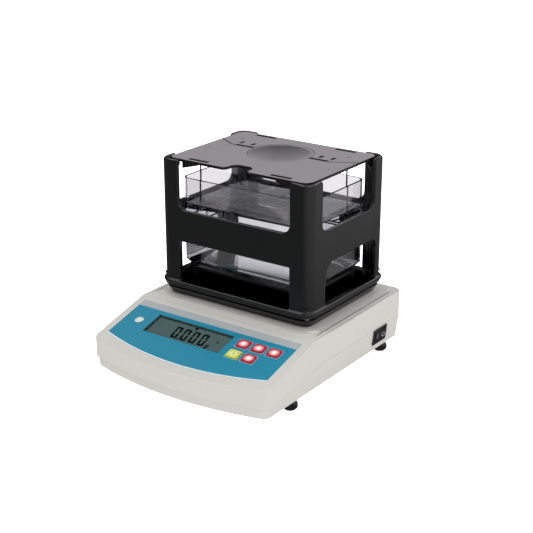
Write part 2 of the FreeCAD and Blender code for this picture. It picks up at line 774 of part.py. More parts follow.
BEZEL_BODY_LONG = "(dim.bezel_long - 2)"
BEZEL_BODY_HIGH = "(dim.bezel_high - 2)"
switch_hole_body = new_body("switch_hole")
pad(switch_hole_body, rectangle(sketch(switch_hole_body, "YZ_Plane"), f"-{BEZEL_BODY_LONG} / 2 - 0.1",
                                f"{BEZEL_BODY_LONG} / 2 + 0.1", f"-{BEZEL_BODY_HIGH} / 2 - 0.1",
                                f"{BEZEL_BODY_HIGH} / 2 + 0.1"), "16", both=True)
switch_hole = on_side_wall(switch_hole_body)
jack_hole_body = new_body("jack_hole")
pad(jack_hole_body, peg_outline(sketch(jack_hole_body, "XZ_Plane"), "0", "0", "dim.jack_radius + 0.2", ROUND_SIDES),
    "16", both=True)
jack_hole = on_rear_wall(jack_hole_body, "dim.jack_across")
PORT_SHELL_WIDE = "(dim.port_wide - 14)"
PORT_SHELL_HIGH = "(dim.port_high - 4.5)"


def port_outline(drawn, grow):
    """D-shaped serial connector shell: wider along its upper edge."""
    wide, high = f"({PORT_SHELL_WIDE} / 2 + {grow})", f"({PORT_SHELL_HIGH} / 2 + {grow})"
    corners = [(f"-{wide} + 1", f"-{high}"), (f"{wide} - 1", f"-{high}"), (wide, high), (f"-{wide}", high)]
    return polygon(drawn, corners)


port_hole_body = new_body("port_hole")
pad(port_hole_body, port_outline(sketch(port_hole_body, "XZ_Plane"), "0.3"), "16", both=True)
port_hole = on_rear_wall(port_hole_body, "dim.port_across")
lower_housing = piece(cut("lower_housing", lower_solid, *spots("insert_hole", insert_hole, FEET.values()),
                          *spots("stud_hole", stud_hole, FEET.values()),
                          *spots("screw_hole", screw_hole, CASE_SCREWS),
                          *spots("head_hole", head_hole, CASE_SCREWS),
                          *spots("board_pilot", board_pilot, BOARD_SCREWS + BASE_SCREWS),
                          switch_hole, jack_hole, port_hole))

# ---------------------------------------------------------------------------------------------------
# Front panel: film, display, keys and level
# ---------------------------------------------------------------------------------------------------
panel_overlay = new_body("panel_overlay")
film = overlay_outline(sketch(panel_overlay, "XY_Plane"), "0")
window_outline(film, "0")
for column, line in KEYS.values():
    key_outline(film, column, line, "dim.key_gap")
peg_outline(film, "dim.level_across", "dim.level_up", "dim.level_radius", ROUND_SIDES)
pad(panel_overlay, film, "dim.overlay_film", down=True)
piece(on_panel(panel_overlay))

display_window = new_body("display_window")
pad(display_window, window_outline(sketch(display_window, "XY_Plane", "-dim.overlay_film"), "dim.window_ledge"),
    "dim.window_lens", down=True)
piece(on_panel(display_window))

display_module = new_body("display_module")
pad(display_module, window_outline(sketch(display_module, "XY_Plane", LCD_LOW), f"{LCD_GROW}"),
    "dim.lcd_thickness")
display_board = sketch(display_module, "XY_Plane", LCD_LOW)
rectangle(display_board, f"dim.window_left - {LCD_GROW}", f"dim.window_right + {LCD_GROW}",
          f"dim.window_low - {3 * LCD_GROW}", f"dim.window_high + {3 * LCD_GROW}")
pad(display_module, display_board, "dim.board_thick", down=True)
piece(on_panel(display_module))

for name, (column, line) in KEYS.items():
    key = new_body(name)
    pad(key, key_outline(sketch(key, "XY_Plane", KEY_LOW), column, line, "0"), f"dim.key_rise - {KEY_LOW}")
    pad(key, key_rectangle(sketch(key, "XY_Plane", KEY_LOW), column, line, "dim.key_ledge"), "dim.key_flange")
    piece(on_panel(key))


def key_switch(name, column, line):
    across, up = key_spot(column, line)
    half = "dim.switch_size / 2"
    case = box(f"{name}_case", f"{across} - {half}", f"{up} - {half}", KEYPAD_TOP, "dim.switch_size",
               "dim.switch_size", "dim.switch_height - 0.8")
    plunger = peg(f"{name}_plunger", "dim.switch_size / 4", "dim.switch_height", across, up, KEYPAD_TOP)
    return fuse(name, case, plunger)


piece(on_panel(group("key_switches", *spots("key_switch", key_switch, KEYS.values()))))
piece(on_panel(group("keypad_board", box(
    "keypad_card", f"{KEYPAD_MIDDLE} - {KEYPAD_HALF_X}", KEYPAD_LOW, f"{KEYPAD_TOP} - dim.board_thick",
    f"2 * {KEYPAD_HALF_X}", f"{KEYPAD_HIGH} - {KEYPAD_LOW}", "dim.board_thick"))))

VIAL_RADIUS = "(dim.level_radius - 0.1)"
level_vial = new_body("level_vial")
vial_top = "(-dim.overlay_film)"
pad(level_vial, peg_outline(sketch(level_vial, "XY_Plane", vial_top), "0", "0", VIAL_RADIUS, ROUND_SIDES),
    "dim.level_deep", down=True)
pocket(level_vial, peg_outline(sketch(level_vial, "XY_Plane", vial_top), "0", "0", f"{VIAL_RADIUS} - dim.level_wall",
                               ROUND_SIDES), "dim.level_deep - dim.level_wall")
piece(on_panel(level_vial, "dim.level_across", "dim.level_up"))
level_glass = new_body("level_glass")
pad(level_glass, peg_outline(sketch(level_glass, "XY_Plane", vial_top), "0", "0", VIAL_RADIUS, ROUND_SIDES),
    "dim.overlay_film + 0.3")
piece(on_panel(level_glass, "dim.level_across", "dim.level_up"))

# ---------------------------------------------------------------------------------------------------
# Power switch on the right side wall (drawn with x out of the wall, y along it, z up it)
# ---------------------------------------------------------------------------------------------------
ROCKER_OPEN_LONG = f"({BEZEL_BODY_LONG} / 2 - dim.bezel_wall)"
ROCKER_OPEN_HIGH = f"({BEZEL_BODY_HIGH} / 2 - dim.bezel_wall)"
PIVOT = "(-0.5)"


def centred(drawn, half_across, half_up):
    return rectangle(drawn, f"-{half_across}", half_across, f"-{half_up}", half_up)


switch_bezel = new_body("switch_bezel")
pad(switch_bezel, centred(sketch(switch_bezel, "YZ_Plane"), f"{BEZEL_BODY_LONG} / 2", f"{BEZEL_BODY_HIGH} / 2"),
    "dim.bezel_deep", down=True)
pad(switch_bezel, centred(sketch(switch_bezel, "YZ_Plane"), "dim.bezel_long / 2", "dim.bezel_high / 2"),
    "dim.bezel_lip")
pocket(switch_bezel, centred(sketch(switch_bezel, "YZ_Plane", "dim.bezel_lip"), ROCKER_OPEN_LONG, ROCKER_OPEN_HIGH),
       "dim.bezel_lip + dim.bezel_deep - dim.bezel_wall")
pocket(switch_bezel, circle(sketch(switch_bezel, "XY_Plane"), PIVOT, "0", "dim.rocker_pin + 0.06"),
       f"2 * {ROCKER_OPEN_HIGH} + 2", both=True)
piece(on_side_wall(switch_bezel))

ROCKER_HALF = f"({ROCKER_OPEN_LONG} - dim.rocker_gap)"
ROCKER_LIFT = f"(dim.bezel_lip + 0.1 + {ROCKER_HALF} * tan(dim.rocker_tilt))"


def tilted(out, along):
    """Corner of the rocker with its front end pressed in: turned about the pivot by half the throw."""
    out = f"(({out}) - {PIVOT})"
    return (f"{PIVOT} + {out} * cos(dim.rocker_tilt) + ({along}) * sin(dim.rocker_tilt)",
            f"({along}) * cos(dim.rocker_tilt) - {out} * sin(dim.rocker_tilt)")


def on_sweep(out):
    """Half length of the rocker at a height, so that its ends stay inside the opening as it turns."""
    return f"sqrt({ROCKER_HALF}^2 - (({out}) - {PIVOT})^2)"


switch_rocker = new_body("switch_rocker")
rocker_profile = sketch(switch_rocker, "XY_Plane")
rocker_low, rocker_foot = f"({PIVOT} - 3)", f"({PIVOT} - 7)"
polygon(rocker_profile, [
    tilted(rocker_foot, "-3"), tilted(rocker_low, f"-{on_sweep(rocker_low)}"),
    tilted(ROCKER_LIFT, f"-{on_sweep(ROCKER_LIFT)}"), tilted("dim.bezel_lip + 0.1", "0"),
    tilted(ROCKER_LIFT, on_sweep(ROCKER_LIFT)), tilted(rocker_low, on_sweep(rocker_low)),
    tilted(rocker_foot, "3")][::-1], {1: ROCKER_HALF, 4: ROCKER_HALF})
pad(switch_rocker, rocker_profile, f"2 * ({ROCKER_OPEN_HIGH} - dim.rocker_gap)", both=True)
pad(switch_rocker, circle(sketch(switch_rocker, "XY_Plane"), PIVOT, "0", "dim.rocker_pin"),
    f"2 * {ROCKER_OPEN_HIGH} + 1.6", both=True)
piece(on_side_wall(switch_rocker))


def terminal(name, along, up):
    return box(name, "-dim.bezel_deep - 7", f"{along} - 2.4", f"{up} - 0.4", "7", "4.8", "0.8")


piece(on_side_wall(group("switch_terminals", *spots("terminal", terminal, [("-5", "0"), ("5", "0")]))))

# ---------------------------------------------------------------------------------------------------
# Rear connectors (drawn with y out of the wall, z up it)
# ---------------------------------------------------------------------------------------------------
power_jack = new_body("power_jack")
pad(power_jack, peg_outline(sketch(power_jack, "XZ_Plane"), "0", "0", "dim.jack_radius", ROUND_SIDES), "11")
pad(power_jack, peg_outline(sketch(power_jack, "XZ_Plane"), "0", "0", "dim.jack_radius + 1.5", ROUND_SIDES), "1", down=True)
pocket(power_jack, peg_outline(sketch(power_jack, "XZ_Plane", "-1"), "0", "0", "dim.jack_bore", ROUND_SIDES), "9", up=False)
pad(power_jack, peg_outline(sketch(power_jack, "XZ_Plane", "9"), "0", "0", "dim.jack_bore / 3"), "8", down=True)
piece(on_rear_wall(power_jack, "dim.jack_across"))

serial_port = new_body("serial_port")
pad(serial_port, port_outline(sketch(serial_port, "XZ_Plane"), "0"), "9")
pad(serial_port, centred(sketch(serial_port, "XZ_Plane"), "dim.port_wide / 2", "dim.port_high / 2"), "0.8", down=True)
pocket(serial_port, port_outline(sketch(serial_port, "XZ_Plane", "-0.8"), "-0.8"), "6", up=False)
port_pins = sketch(serial_port, "XZ_Plane", "5.5")
for number in range(9):
    upper = number < 5
    across = (number - 2) * 2.77 if upper else (number - 6.5) * 2.77
    circle(port_pins, f"{across}", "1.42" if upper else "-1.42", "0.5")
pad(serial_port, port_pins, "5", down=True)
piece(on_rear_wall(serial_port, "dim.port_across"))


def port_nut(name, x, z):
    body = new_body(name)
    pad(body, peg_outline(sketch(body, "XZ_Plane", "-0.8"), x, z, "2.5", 6), "0.5", down=True)
    return body


port_nuts = [("-dim.port_wide / 2 + 3", "0"), ("dim.port_wide / 2 - 3", "0")]
piece(on_rear_wall(group("port_nuts", *spots("port_nut", port_nut, port_nuts)), "dim.port_across"))

# ---------------------------------------------------------------------------------------------------
# Levelling feet
# ---------------------------------------------------------------------------------------------------
def foot_insert(name, x, y):
    body = new_body(name)
    ring = peg_outline(sketch(body, "XY_Plane", CASE_FLOOR), "0", "0", "dim.insert_radius")
    peg_outline(ring, "0", "0", "dim.foot_stud + dim.foot_fit")
    pad(body, ring, "dim.insert_length")
    return put(body, x, y)


piece(group("foot_inserts", *spots("foot_insert", foot_insert, FEET.values())))

FOOT_SIDES = 12         # grip flats round a foot

for place, (x, y) in FEET.items():
    foot = new_body(f"foot_{place}")
    pad(foot, peg_outline(sketch(foot, "XY_Plane"), "0", "0", "dim.foot_radius", FOOT_SIDES), "dim.foot_disc")
    soften(foot, "dim.foot_chamfer", at_height("0"))
    pad(foot, peg_outline(sketch(foot, "XY_Plane"), "0", "0", "dim.foot_stud"),
        f"{CASE_FLOOR} + dim.insert_length - 2")
    piece(put(foot, x, y))

# ---------------------------------------------------------------------------------------------------
# Screws and electronics
# ---------------------------------------------------------------------------------------------------
def screw(name, x, y, seat, shank, head_up, radius="dim.screw_radius"):
    """Pan-head screw: its head seats at one height and its shank runs down from it, or up."""
    body = new_body(name)
    thin = f"({radius} * cos({180 / PEG_SIDES}) - 0.02)"       # clears the flats of its hole
    pad(body, peg_outline(sketch(body, "XY_Plane", seat), "0", "0", f"{radius} * 1.8", SCREW_SIDES),
        f"{radius} * 1.1", down=not head_up)
    pad(body, peg_outline(sketch(body, "XY_Plane", seat), "0", "0", thin, SCREW_SIDES), shank, down=head_up)
    return put(body, x, y)


def screws(name, places, seat, shank, head_up=True, radius="dim.screw_radius"):
    made = [screw(f"{name}_{number}", x, y, seat, shank, head_up, radius)
            for number, (x, y) in enumerate(places, start=1)]
    return piece(group(name, *made))


screws("case_screws", CASE_SCREWS, "(dim.foot_height + 3)", f"{BOSS_JOIN} - dim.foot_height + 4", head_up=False)

BOARD_LOW = f"({CASE_FLOOR} + dim.standoff)"


def board_hole(name, x, y):
    return peg(name, "dim.screw_radius", "2 * dim.board_thick", x, y, f"{BOARD_LOW} - dim.board_thick / 2")


card = box("main_card", "dim.board_x", "dim.board_y", BOARD_LOW, "dim.board_wide", "dim.board_deep", "dim.board_thick")
chip_level = f"({BOARD_LOW} + dim.board_thick / 2)"
chips = [box("processor", "dim.board_x + 34", "dim.board_y + 12", chip_level, "14", "14", "2.4"),
         box("regulator", "dim.board_x + 14", "dim.board_y + 16", chip_level, "10", "9", "5"),
         box("cell_socket", "dim.board_x + 40", "dim.board_y + 1", chip_level, "16", "6", "8"),
         peg("reservoir", "5", "13", "dim.board_x + 72", "dim.board_y + 22", chip_level),
         peg("smoother", "3.2", "9", "dim.board_x + 60", "dim.board_y + 26", chip_level)]
main_board = piece(cut("main_board", fuse("main_board_solid", card, *chips),
                       *spots("board_hole", board_hole, BOARD_SCREWS)))
screws("board_screws", BOARD_SCREWS, f"({BOARD_LOW} + dim.board_thick)", "dim.board_thick + dim.standoff - 1")

# ---------------------------------------------------------------------------------------------------
# Load cell, stop and weighing arm
# ---------------------------------------------------------------------------------------------------
CELL_Y = "(dim.tower_y - dim.cell_wide / 2)"
BASE_TOP = f"({BASE_LOW} + dim.base_thick)"
BASE_HALF_Y = "(dim.cell_wide / 2 + 12)"
CELL_SCREWS = [(f"(-dim.cell_length / 2 + {inset})", "dim.tower_y") for inset in (6, 18)]
STOP_X = "(dim.cell_length / 2 - 10)"


def base_hole(name, x, y):
    return peg(name, "dim.screw_radius", "2 * dim.base_thick", x, y, f"{BASE_LOW} - 1")


def cell_hole(name, x, y):
    return peg(name, "2", f"dim.cell_high + {BASE_TOP}", x, y, f"{BASE_LOW} + 1")


stop_hole = peg("stop_hole", "3", "2 * dim.base_thick", STOP_X, "dim.tower_y", f"{BASE_LOW} + 1")
base_plate = box("base_plate", "-dim.cell_length / 2", f"dim.tower_y - {BASE_HALF_Y}", BASE_LOW, "dim.cell_length",
                 f"2 * {BASE_HALF_Y}", "dim.base_thick")
base_step = box("base_step", "-dim.cell_length / 2", CELL_Y, BASE_LOW, "dim.cell_end - 5", "dim.cell_wide",
                f"dim.cell_bottom - {BASE_LOW}")
load_cell_base = piece(cut("load_cell_base", fuse("base_solid", base_plate, base_step), stop_hole,
                           *spots("base_hole", base_hole, BASE_SCREWS),
                           *spots("base_cell_hole", cell_hole, CELL_SCREWS)))
screws("base_screws", BASE_SCREWS, BASE_TOP, f"dim.base_thick + {BASE_LOW} - {CASE_FLOOR} - 0.5")

EYE_X = "(dim.cell_length / 2 - dim.cell_end - dim.cell_eye)"
CELL_MIDDLE = "(dim.cell_bottom + dim.cell_high / 2)"
cell_block = new_body("cell_block")
cell_side = rectangle(sketch(cell_block, "XZ_Plane", "-dim.tower_y"), "-dim.cell_length / 2", "dim.cell_length / 2",
                      "dim.cell_bottom", CELL_TOP)
pad(cell_block, cell_side, "dim.cell_wide", both=True)
for side in ("-", ""):
    eye = circle(sketch(cell_block, "XZ_Plane"), f"{side}{EYE_X}", CELL_MIDDLE, "dim.cell_eye")
    pocket(cell_block, eye, both=True)
pocket(cell_block, rectangle(sketch(cell_block, "XZ_Plane"), f"-{EYE_X}", EYE_X, f"{CELL_MIDDLE} - dim.cell_eye / 2",
                             f"{CELL_MIDDLE} + dim.cell_eye / 2"), both=True)
load_cell = piece(cut("load_cell", cell_block, *spots("cell_hole", cell_hole, CELL_SCREWS)))
screws("load_cell_screws", CELL_SCREWS, CELL_TOP, f"{CELL_TOP} - {BASE_LOW} - 2", radius="2")

overload_stop = new_body("overload_stop")
pad(overload_stop, peg_outline(sketch(overload_stop, "XY_Plane", f"{BASE_LOW} + 1"), "0", "0", "2.95"),
    f"dim.cell_bottom - {BASE_LOW} - 1.5")
pad(overload_stop, peg_outline(sketch(overload_stop, "XY_Plane", BASE_TOP), "0", "0", "5"), "1")
piece(put(overload_stop, STOP_X, "dim.tower_y"))

ARM_LOW = f"({CELL_TOP} + dim.weigh_gap)"
SPIDER_LOW = f"({TRAY_LOW} - dim.cushion_thick - dim.spider_thick)"
SPIDER_TIPS = [(f"({side} * dim.spider_half_x)", f"(dim.tower_y + {end} * dim.spider_half_y)")
               for side in (-1, 1) for end in (-1, 1)]
ARM_SCREWS = [(f"(dim.cell_length / 2 - {inset})", "dim.tower_y") for inset in (6, 18)]


def arm_hole(name, x, y):
    return peg(name, "2", "2 * dim.arm_thick", x, y, f"{ARM_LOW} - 1")


def spider_tip(name, x, y):
    return peg(name, "dim.cushion_radius", "dim.spider_thick", x, y, SPIDER_LOW)


def spider_bar(name, y):
    return box(name, "-dim.spider_half_x", f"{y} - dim.spider_bar / 2", SPIDER_LOW, "2 * dim.spider_half_x",
               "dim.spider_bar", "dim.spider_thick")


arm_plate = box("arm_plate", "-dim.hub_radius", f"{CELL_Y} + 2", ARM_LOW, "dim.cell_length / 2 + dim.hub_radius",
                "dim.cell_wide - 4", "dim.arm_thick")
arm_hub = peg("arm_hub", "dim.hub_radius", f"{SPIDER_LOW} - {ARM_LOW} + 1", "0", "dim.tower_y", ARM_LOW)
arm_cross = box("arm_cross", "-dim.spider_bar / 2", "dim.tower_y - dim.spider_half_y", SPIDER_LOW, "dim.spider_bar",
                "2 * dim.spider_half_y", "dim.spider_thick")
arm_solid = fuse("arm_solid", arm_plate, arm_hub, arm_cross,
                 spider_bar("front_bar", "dim.tower_y - dim.spider_half_y"),
                 spider_bar("rear_bar", "dim.tower_y + dim.spider_half_y"),
                 *spots("spider_tip", spider_tip, SPIDER_TIPS))
weighing_arm = piece(cut("weighing_arm", arm_solid, *spots("arm_hole", arm_hole, ARM_SCREWS)))
screws("arm_screws", ARM_SCREWS, f"({ARM_LOW} + dim.arm_thick)", "dim.arm_thick", radius="2")


def cushion(name, x, y):
    return peg(name, "dim.cushion_radius - 0.5", "dim.cushion_thick", x, y, f"{SPIDER_LOW} + dim.spider_thick")


piece(group("tray_cushions", *spots("cushion", cushion, SPIDER_TIPS)))

# ---------------------------------------------------------------------------------------------------
# Drip tray, weighed tray and measuring frame
# ---------------------------------------------------------------------------------------------------
STEMS = [(f"({side} * dim.stem_half_x)", f"(dim.tower_y + {end} * dim.stem_half_y)")
         for side in (-1, 1) for end in (-1, 1)]


def tower_rectangle(drawn, half_x, half_y, radius):
    """Rounded rectangle about the middle of the tower."""
    return round_rectangle(drawn, f"-({half_x})", f"({half_x})", f"dim.tower_y - ({half_y})",
                           f"dim.tower_y + ({half_y})", radius)


DRIP_LEAN = "atan(dim.drip_flare / dim.drip_rim)"
DRIP_SKIN = f"(dim.drip_wall / cos({DRIP_LEAN}) - dim.drip_floor * tan({DRIP_LEAN}))"
drip_outer = new_body("drip_outer")
drip_foot = sketch(drip_outer, "XY_Plane", PLATEAU)
tower_rectangle(drip_foot, "dim.drip_half_x - dim.drip_flare", "dim.drip_half_y - dim.drip_flare",
                "(dim.drip_round - dim.drip_flare)")
pad(drip_outer, drip_foot, "dim.drip_rim", taper=DRIP_LEAN)
drip_inner = new_body("drip_inner")
drip_pan = sketch(drip_inner, "XY_Plane", DRIP_FLOOR_TOP)
tower_rectangle(drip_pan, f"dim.drip_half_x - dim.drip_flare - {DRIP_SKIN}",
                f"dim.drip_half_y - dim.drip_flare - {DRIP_SKIN}",
                f"(dim.drip_round - dim.drip_flare - {DRIP_SKIN})")
pad(drip_inner, drip_pan, "dim.drip_rim", taper=DRIP_LEAN)


def stem_seat(name, x, y):
    ring = new_body(name)
    drawn = peg_outline(sketch(ring, "XY_Plane", PLATEAU), "0", "0", "dim.stem_radius + 0.2 + dim.drip_wall")
    peg_outline(drawn, "0", "0", "dim.stem_radius + 0.2")
    pad(ring, drawn, "dim.drip_floor + dim.drip_collar")
    return put(ring, x, y)


def drip_hole(name, x, y):
    return peg(name, "dim.screw_radius", "2 * dim.drip_floor", x, y, f"{PLATEAU} - 1")


drip_collar = peg("drip_collar", "dim.hub_opening + dim.drip_wall", "dim.drip_floor + dim.drip_collar", "0",
                  "dim.tower_y", PLATEAU, sides=ROUND_SIDES)
drip_bore = peg("drip_bore", "dim.hub_opening", "2 * dim.drip_rim", "0", "dim.tower_y", f"{PLATEAU} - 1",
                sides=ROUND_SIDES)
drip_shell = cut("drip_shell", drip_outer, drip_inner)
drip_solid = fuse("drip_solid", drip_shell, drip_collar, *spots("stem_seat", stem_seat, STEMS))
drip_tray = piece(cut("drip_tray", drip_solid, drip_bore, *spots("drip_hole", drip_hole, DRIP_SCREWS)))
screws("drip_screws", DRIP_SCREWS, DRIP_FLOOR_TOP, "dim.drip_floor + 2 * dim.case_wall")

FRAME_SCREWS = [(f"({side} * (dim.frame_width / 2 - dim.frame_boss_in))",
                 f"(dim.tower_y + {end} * (dim.frame_deep / 2 - dim.frame_boss_in))")
                for side in (-1, 1) for end in (-1, 1)]


def collar(name, x, y):
    return peg(name, "dim.stem_radius + dim.stem_clear + dim.collar_wall", "dim.tray_thick + dim.collar_high", x, y,
               TRAY_LOW)


def stem_opening(name, x, y):
    return peg(name, "dim.stem_radius + dim.stem_clear", "dim.tray_thick + 2 * dim.collar_high", x, y,
               f"{TRAY_LOW} - 1")


def tray_hole(name, x, y):
    return peg(name, "dim.screw_radius", "2 * dim.tray_thick", x, y, f"{TRAY_LOW} - 1")


tray_plate = new_body("tray_plate")
pad(tray_plate, tower_rectangle(sketch(tray_plate, "XY_Plane", TRAY_LOW), "dim.tray_half_x", "dim.tray_half_y",
                                "dim.tray_round"), "dim.tray_thick")
weighing_tray = piece(cut("weighing_tray", fuse("tray_solid", tray_plate, *spots("collar", collar, STEMS)),
                          *spots("stem_opening", stem_opening, STEMS), *spots("tray_hole", tray_hole, FRAME_SCREWS)))

HALF_WIDE, HALF_DEEP = "(dim.frame_width / 2)", "(dim.frame_deep / 2)"
FRAME_FRONT, FRAME_BACK = f"(dim.tower_y - {HALF_DEEP})", f"(dim.tower_y + {HALF_DEEP})"
FLANGE_TOP = f"({TRAY_TOP} + dim.flange_high)"
WINDOW_HALF = f"({HALF_WIDE} - dim.post_front)"


def on_outer_rim(edge, _shape):
    """Edges round the outside of the frame's top."""
    return all(abs(v.Z - value("dim.frame_top")) < 1e-4 and max(
        abs(v.X) - value(HALF_WIDE), abs(v.Y - value("dim.tower_y")) - value(HALF_DEEP)) > -1e-4
        for v in edge.Vertexes)


frame_walls = new_body("frame_walls")
frame_ring = tower_rectangle(sketch(frame_walls, "XY_Plane", TRAY_TOP), HALF_WIDE, HALF_DEEP, "dim.frame_round")
tower_rectangle(frame_ring, f"{HALF_WIDE} - dim.frame_wall", f"{HALF_DEEP} - dim.frame_wall",
                "(dim.frame_round - dim.frame_wall)")
pad(frame_walls, frame_ring, f"dim.frame_top - {TRAY_TOP}")
soften(frame_walls, "dim.frame_edge", on_outer_rim)
flange = tower_rectangle(sketch(frame_walls, "XY_Plane", TRAY_TOP), f"{HALF_WIDE} + dim.flange_out",
                         f"{HALF_DEEP} + dim.flange_out", "(dim.frame_round + dim.flange_out)")
tower_rectangle(flange, f"{HALF_WIDE} - dim.flange_in", f"{HALF_DEEP} - dim.flange_in",
                "(dim.frame_round - dim.flange_in)")
pad(frame_walls, flange, "dim.flange_high")
front_windows = sketch(frame_walls, "XZ_Plane")
rectangle(front_windows, f"-{WINDOW_HALF}", WINDOW_HALF, FLANGE_TOP, "dim.band_low")
polygon(front_windows, [
    (f"-{WINDOW_HALF} + dim.window_round", "dim.band_high"), (f"{WINDOW_HALF} - dim.window_round", "dim.band_high"),
    (WINDOW_HALF, "dim.band_high + dim.window_round"), (WINDOW_HALF, "dim.frame_top + 1"),
    (f"-{WINDOW_HALF}", "dim.frame_top + 1"), (f"-{WINDOW_HALF}", "dim.band_high + dim.window_round")],
    {1: "dim.window_round", 5: "dim.window_round"})
pocket(frame_walls, front_windows, both=True)
side_windows = sketch(frame_walls, "YZ_Plane")
side_front, side_back = f"({FRAME_FRONT} + dim.lower_side_front)", f"({FRAME_BACK} - dim.lower_side_rear)"
polygon(side_windows, [
    (side_front, FLANGE_TOP), (side_back, FLANGE_TOP), (side_back, "dim.band_low - dim.arch_rear"),
    (f"{side_back} - dim.arch_rear", "dim.band_low"), (f"{side_front} + dim.arch_front", "dim.band_low"),
    (side_front, "dim.band_low - dim.arch_front")], {2: "dim.arch_rear", 4: "dim.arch_front"})
side_front, side_back = f"({FRAME_FRONT} + dim.upper_side_front)", f"({FRAME_BACK} - dim.upper_side_rear)"
polygon(side_windows, [
    (f"{side_front} + dim.window_round", "dim.band_high"), (f"{side_back} - dim.window_round", "dim.band_high"),
    (side_back, "dim.band_high + dim.window_round"), (side_back, "dim.frame_top + 1"),
    (side_front, "dim.frame_top + 1"), (side_front, "dim.band_high + dim.window_round")],
    {1: "dim.window_round", 5: "dim.window_round"})
pocket(frame_walls, side_windows, both=True)


def frame_boss(name, x, y):
    return peg(name, "dim.frame_boss", "dim.frame_boss_high", x, y, TRAY_TOP)


def frame_hole(name, x, y):
    return peg(name, "dim.screw_radius", "dim.frame_boss_high", x, y, f"{TRAY_TOP} - 1")


measuring_frame = piece(cut("measuring_frame",
                            fuse("frame_solid", frame_walls, *spots("frame_boss", frame_boss, FRAME_SCREWS)),
                            *spots("frame_hole", frame_hole, FRAME_SCREWS)))
screws("frame_screws", FRAME_SCREWS, TRAY_LOW, "dim.tray_thick + dim.frame_boss_high - 2", head_up=False)


def shelf(name, side, end):
    """Corner shelf inside the top of a post: it carries a corner of the measuring table."""
    body = new_body(name)
    inner_x, inner_y = f"({HALF_WIDE} - dim.frame_wall)", f"({HALF_DEEP} - dim.frame_wall)"
    outline = [(f"({side} * ({inner_x} - {across}))", f"(dim.tower_y + {end} * ({inner_y} - {along}))")
               for across, along in (("0", "dim.shelf_leg"), ("0", INNER_ROUND), (INNER_ROUND, "0"),
                                     ("dim.shelf_leg", "0"))]
    drawn = polygon(sketch(body, "XY_Plane", SHELF_TOP), outline if side * end > 0 else outline[::-1])
    pad(body, drawn, "dim.shelf_thick", down=True)
    return body


INNER_ROUND = "(dim.frame_round - dim.frame_wall)"
piece(group("table_shelves", *spots("shelf", shelf, [(side, end) for side in (-1, 1) for end in (-1, 1)])))

# ---------------------------------------------------------------------------------------------------
# Measuring table and sample basket
# ---------------------------------------------------------------------------------------------------
TABLE_FRONT, TABLE_BACK = f"(dim.tower_y - {TABLE_HALF_Y})", f"(dim.tower_y + {TABLE_HALF_Y})"
DISH_Y = "(dim.tower_y + dim.dish_back)"
SEAM = "(dim.tower_y + dim.seam_back)"
SEAM_SIDE = "(dim.tower_y + dim.seam_side_back)"
DISH_RIM = "(dim.dish_radius + dim.dish_land)"
TAB_END = f"({WINDOW_HALF} - 1)"


def arc_radius(half_chord, rise):
    return f"((({half_chord})^2 + ({rise})^2) / (2 * ({rise})))"


def table_corner(front):
    """Upright edges at the outer corners of the front or the rear plate."""
    line = value(TABLE_FRONT if front else TABLE_BACK)
    return lambda edge, shape: is_upright(edge, shape) and abs(edge.Vertexes[0].Y - line) < 1e-4


def holes(body, places):
    drawn = sketch(body, "XY_Plane")
    for x, y in places:
        peg_outline(drawn, x, y, "dim.pin_radius")
        peg_outline(drawn, f"-({x})", y, "dim.pin_radius")
    pocket(body, drawn, both=True)


def slots(body, x_low, x_high, y_low, y_high):
    """A slot and its mirror image."""
    drawn = rectangle(sketch(body, "XY_Plane"), x_low, x_high, y_low, y_high)
    rectangle(drawn, f"-({x_high})", f"-({x_low})", y_low, y_high)
    pocket(body, drawn, both=True)


def edge_tabs(body, y):
    """Tapered tabs under the plate beside the posts, with their outer face at y + tab_thick."""
    start = f"({TAB_END} - dim.tab_long)"
    deep, thin = f"({TABLE_LOW} - dim.tab_deep)", f"({TABLE_LOW} - dim.tab_thin)"
    drawn = polygon(sketch(body, "XZ_Plane", f"-({y})"), [(start, thin), (TAB_END, deep), (TAB_END, TABLE_LOW),
                                                          (start, TABLE_LOW)])
    polygon(drawn, [(f"-{TAB_END}", deep), (f"-{start}", thin), (f"-{start}", TABLE_LOW), (f"-{TAB_END}", TABLE_LOW)])
    pad(body, drawn, "dim.tab_thick")


DISH_STEPS = 4          # straight steps down the dish's section


def bowl(name, rim_height, bottom):
    """Faceted bowl form: a block whose outside is cut back to the dish's section, all round."""
    body = new_body(name)
    reach, high = "(dim.dish_radius + 1)", f"({rim_height} + 1)"
    pad(body, rectangle(sketch(body, "XY_Plane", bottom), f"-{reach}", reach, f"-{reach}", reach),
        f"{high} - {bottom}")
    section = [(f"dim.dish_radius * {step / DISH_STEPS}",
                f"{bottom} + ({rim_height} - {bottom}) * {(step / DISH_STEPS) ** 2}")
               for step in range(DISH_STEPS, 1, -1)]
    section.append((f"dim.dish_radius * {1 / DISH_STEPS}", bottom))
    outside = polygon(sketch(body, "XZ_Plane"), [("dim.dish_radius", f"{high} + 1")] + section + [
        (f"dim.dish_radius * {1 / DISH_STEPS}", f"{bottom} - 1"), (f"2 * {reach}", f"{bottom} - 1"),
        (f"2 * {reach}", f"{high} + 1")])
    side = pocket(body, outside, both=True)
    round_cut = body.newObject("PartDesign::PolarPattern", f"{name}_round")
    round_cut.Originals = [side]
    round_cut.Axis = (next(f for f in body.Origin.OriginFeatures if f.Role == "Z_Axis"), [""])
    round_cut.Angle = 360
    round_cut.Occurrences = ROUND_SIDES
    body.Tip = round_cut
    return put(body, "0", DISH_Y)


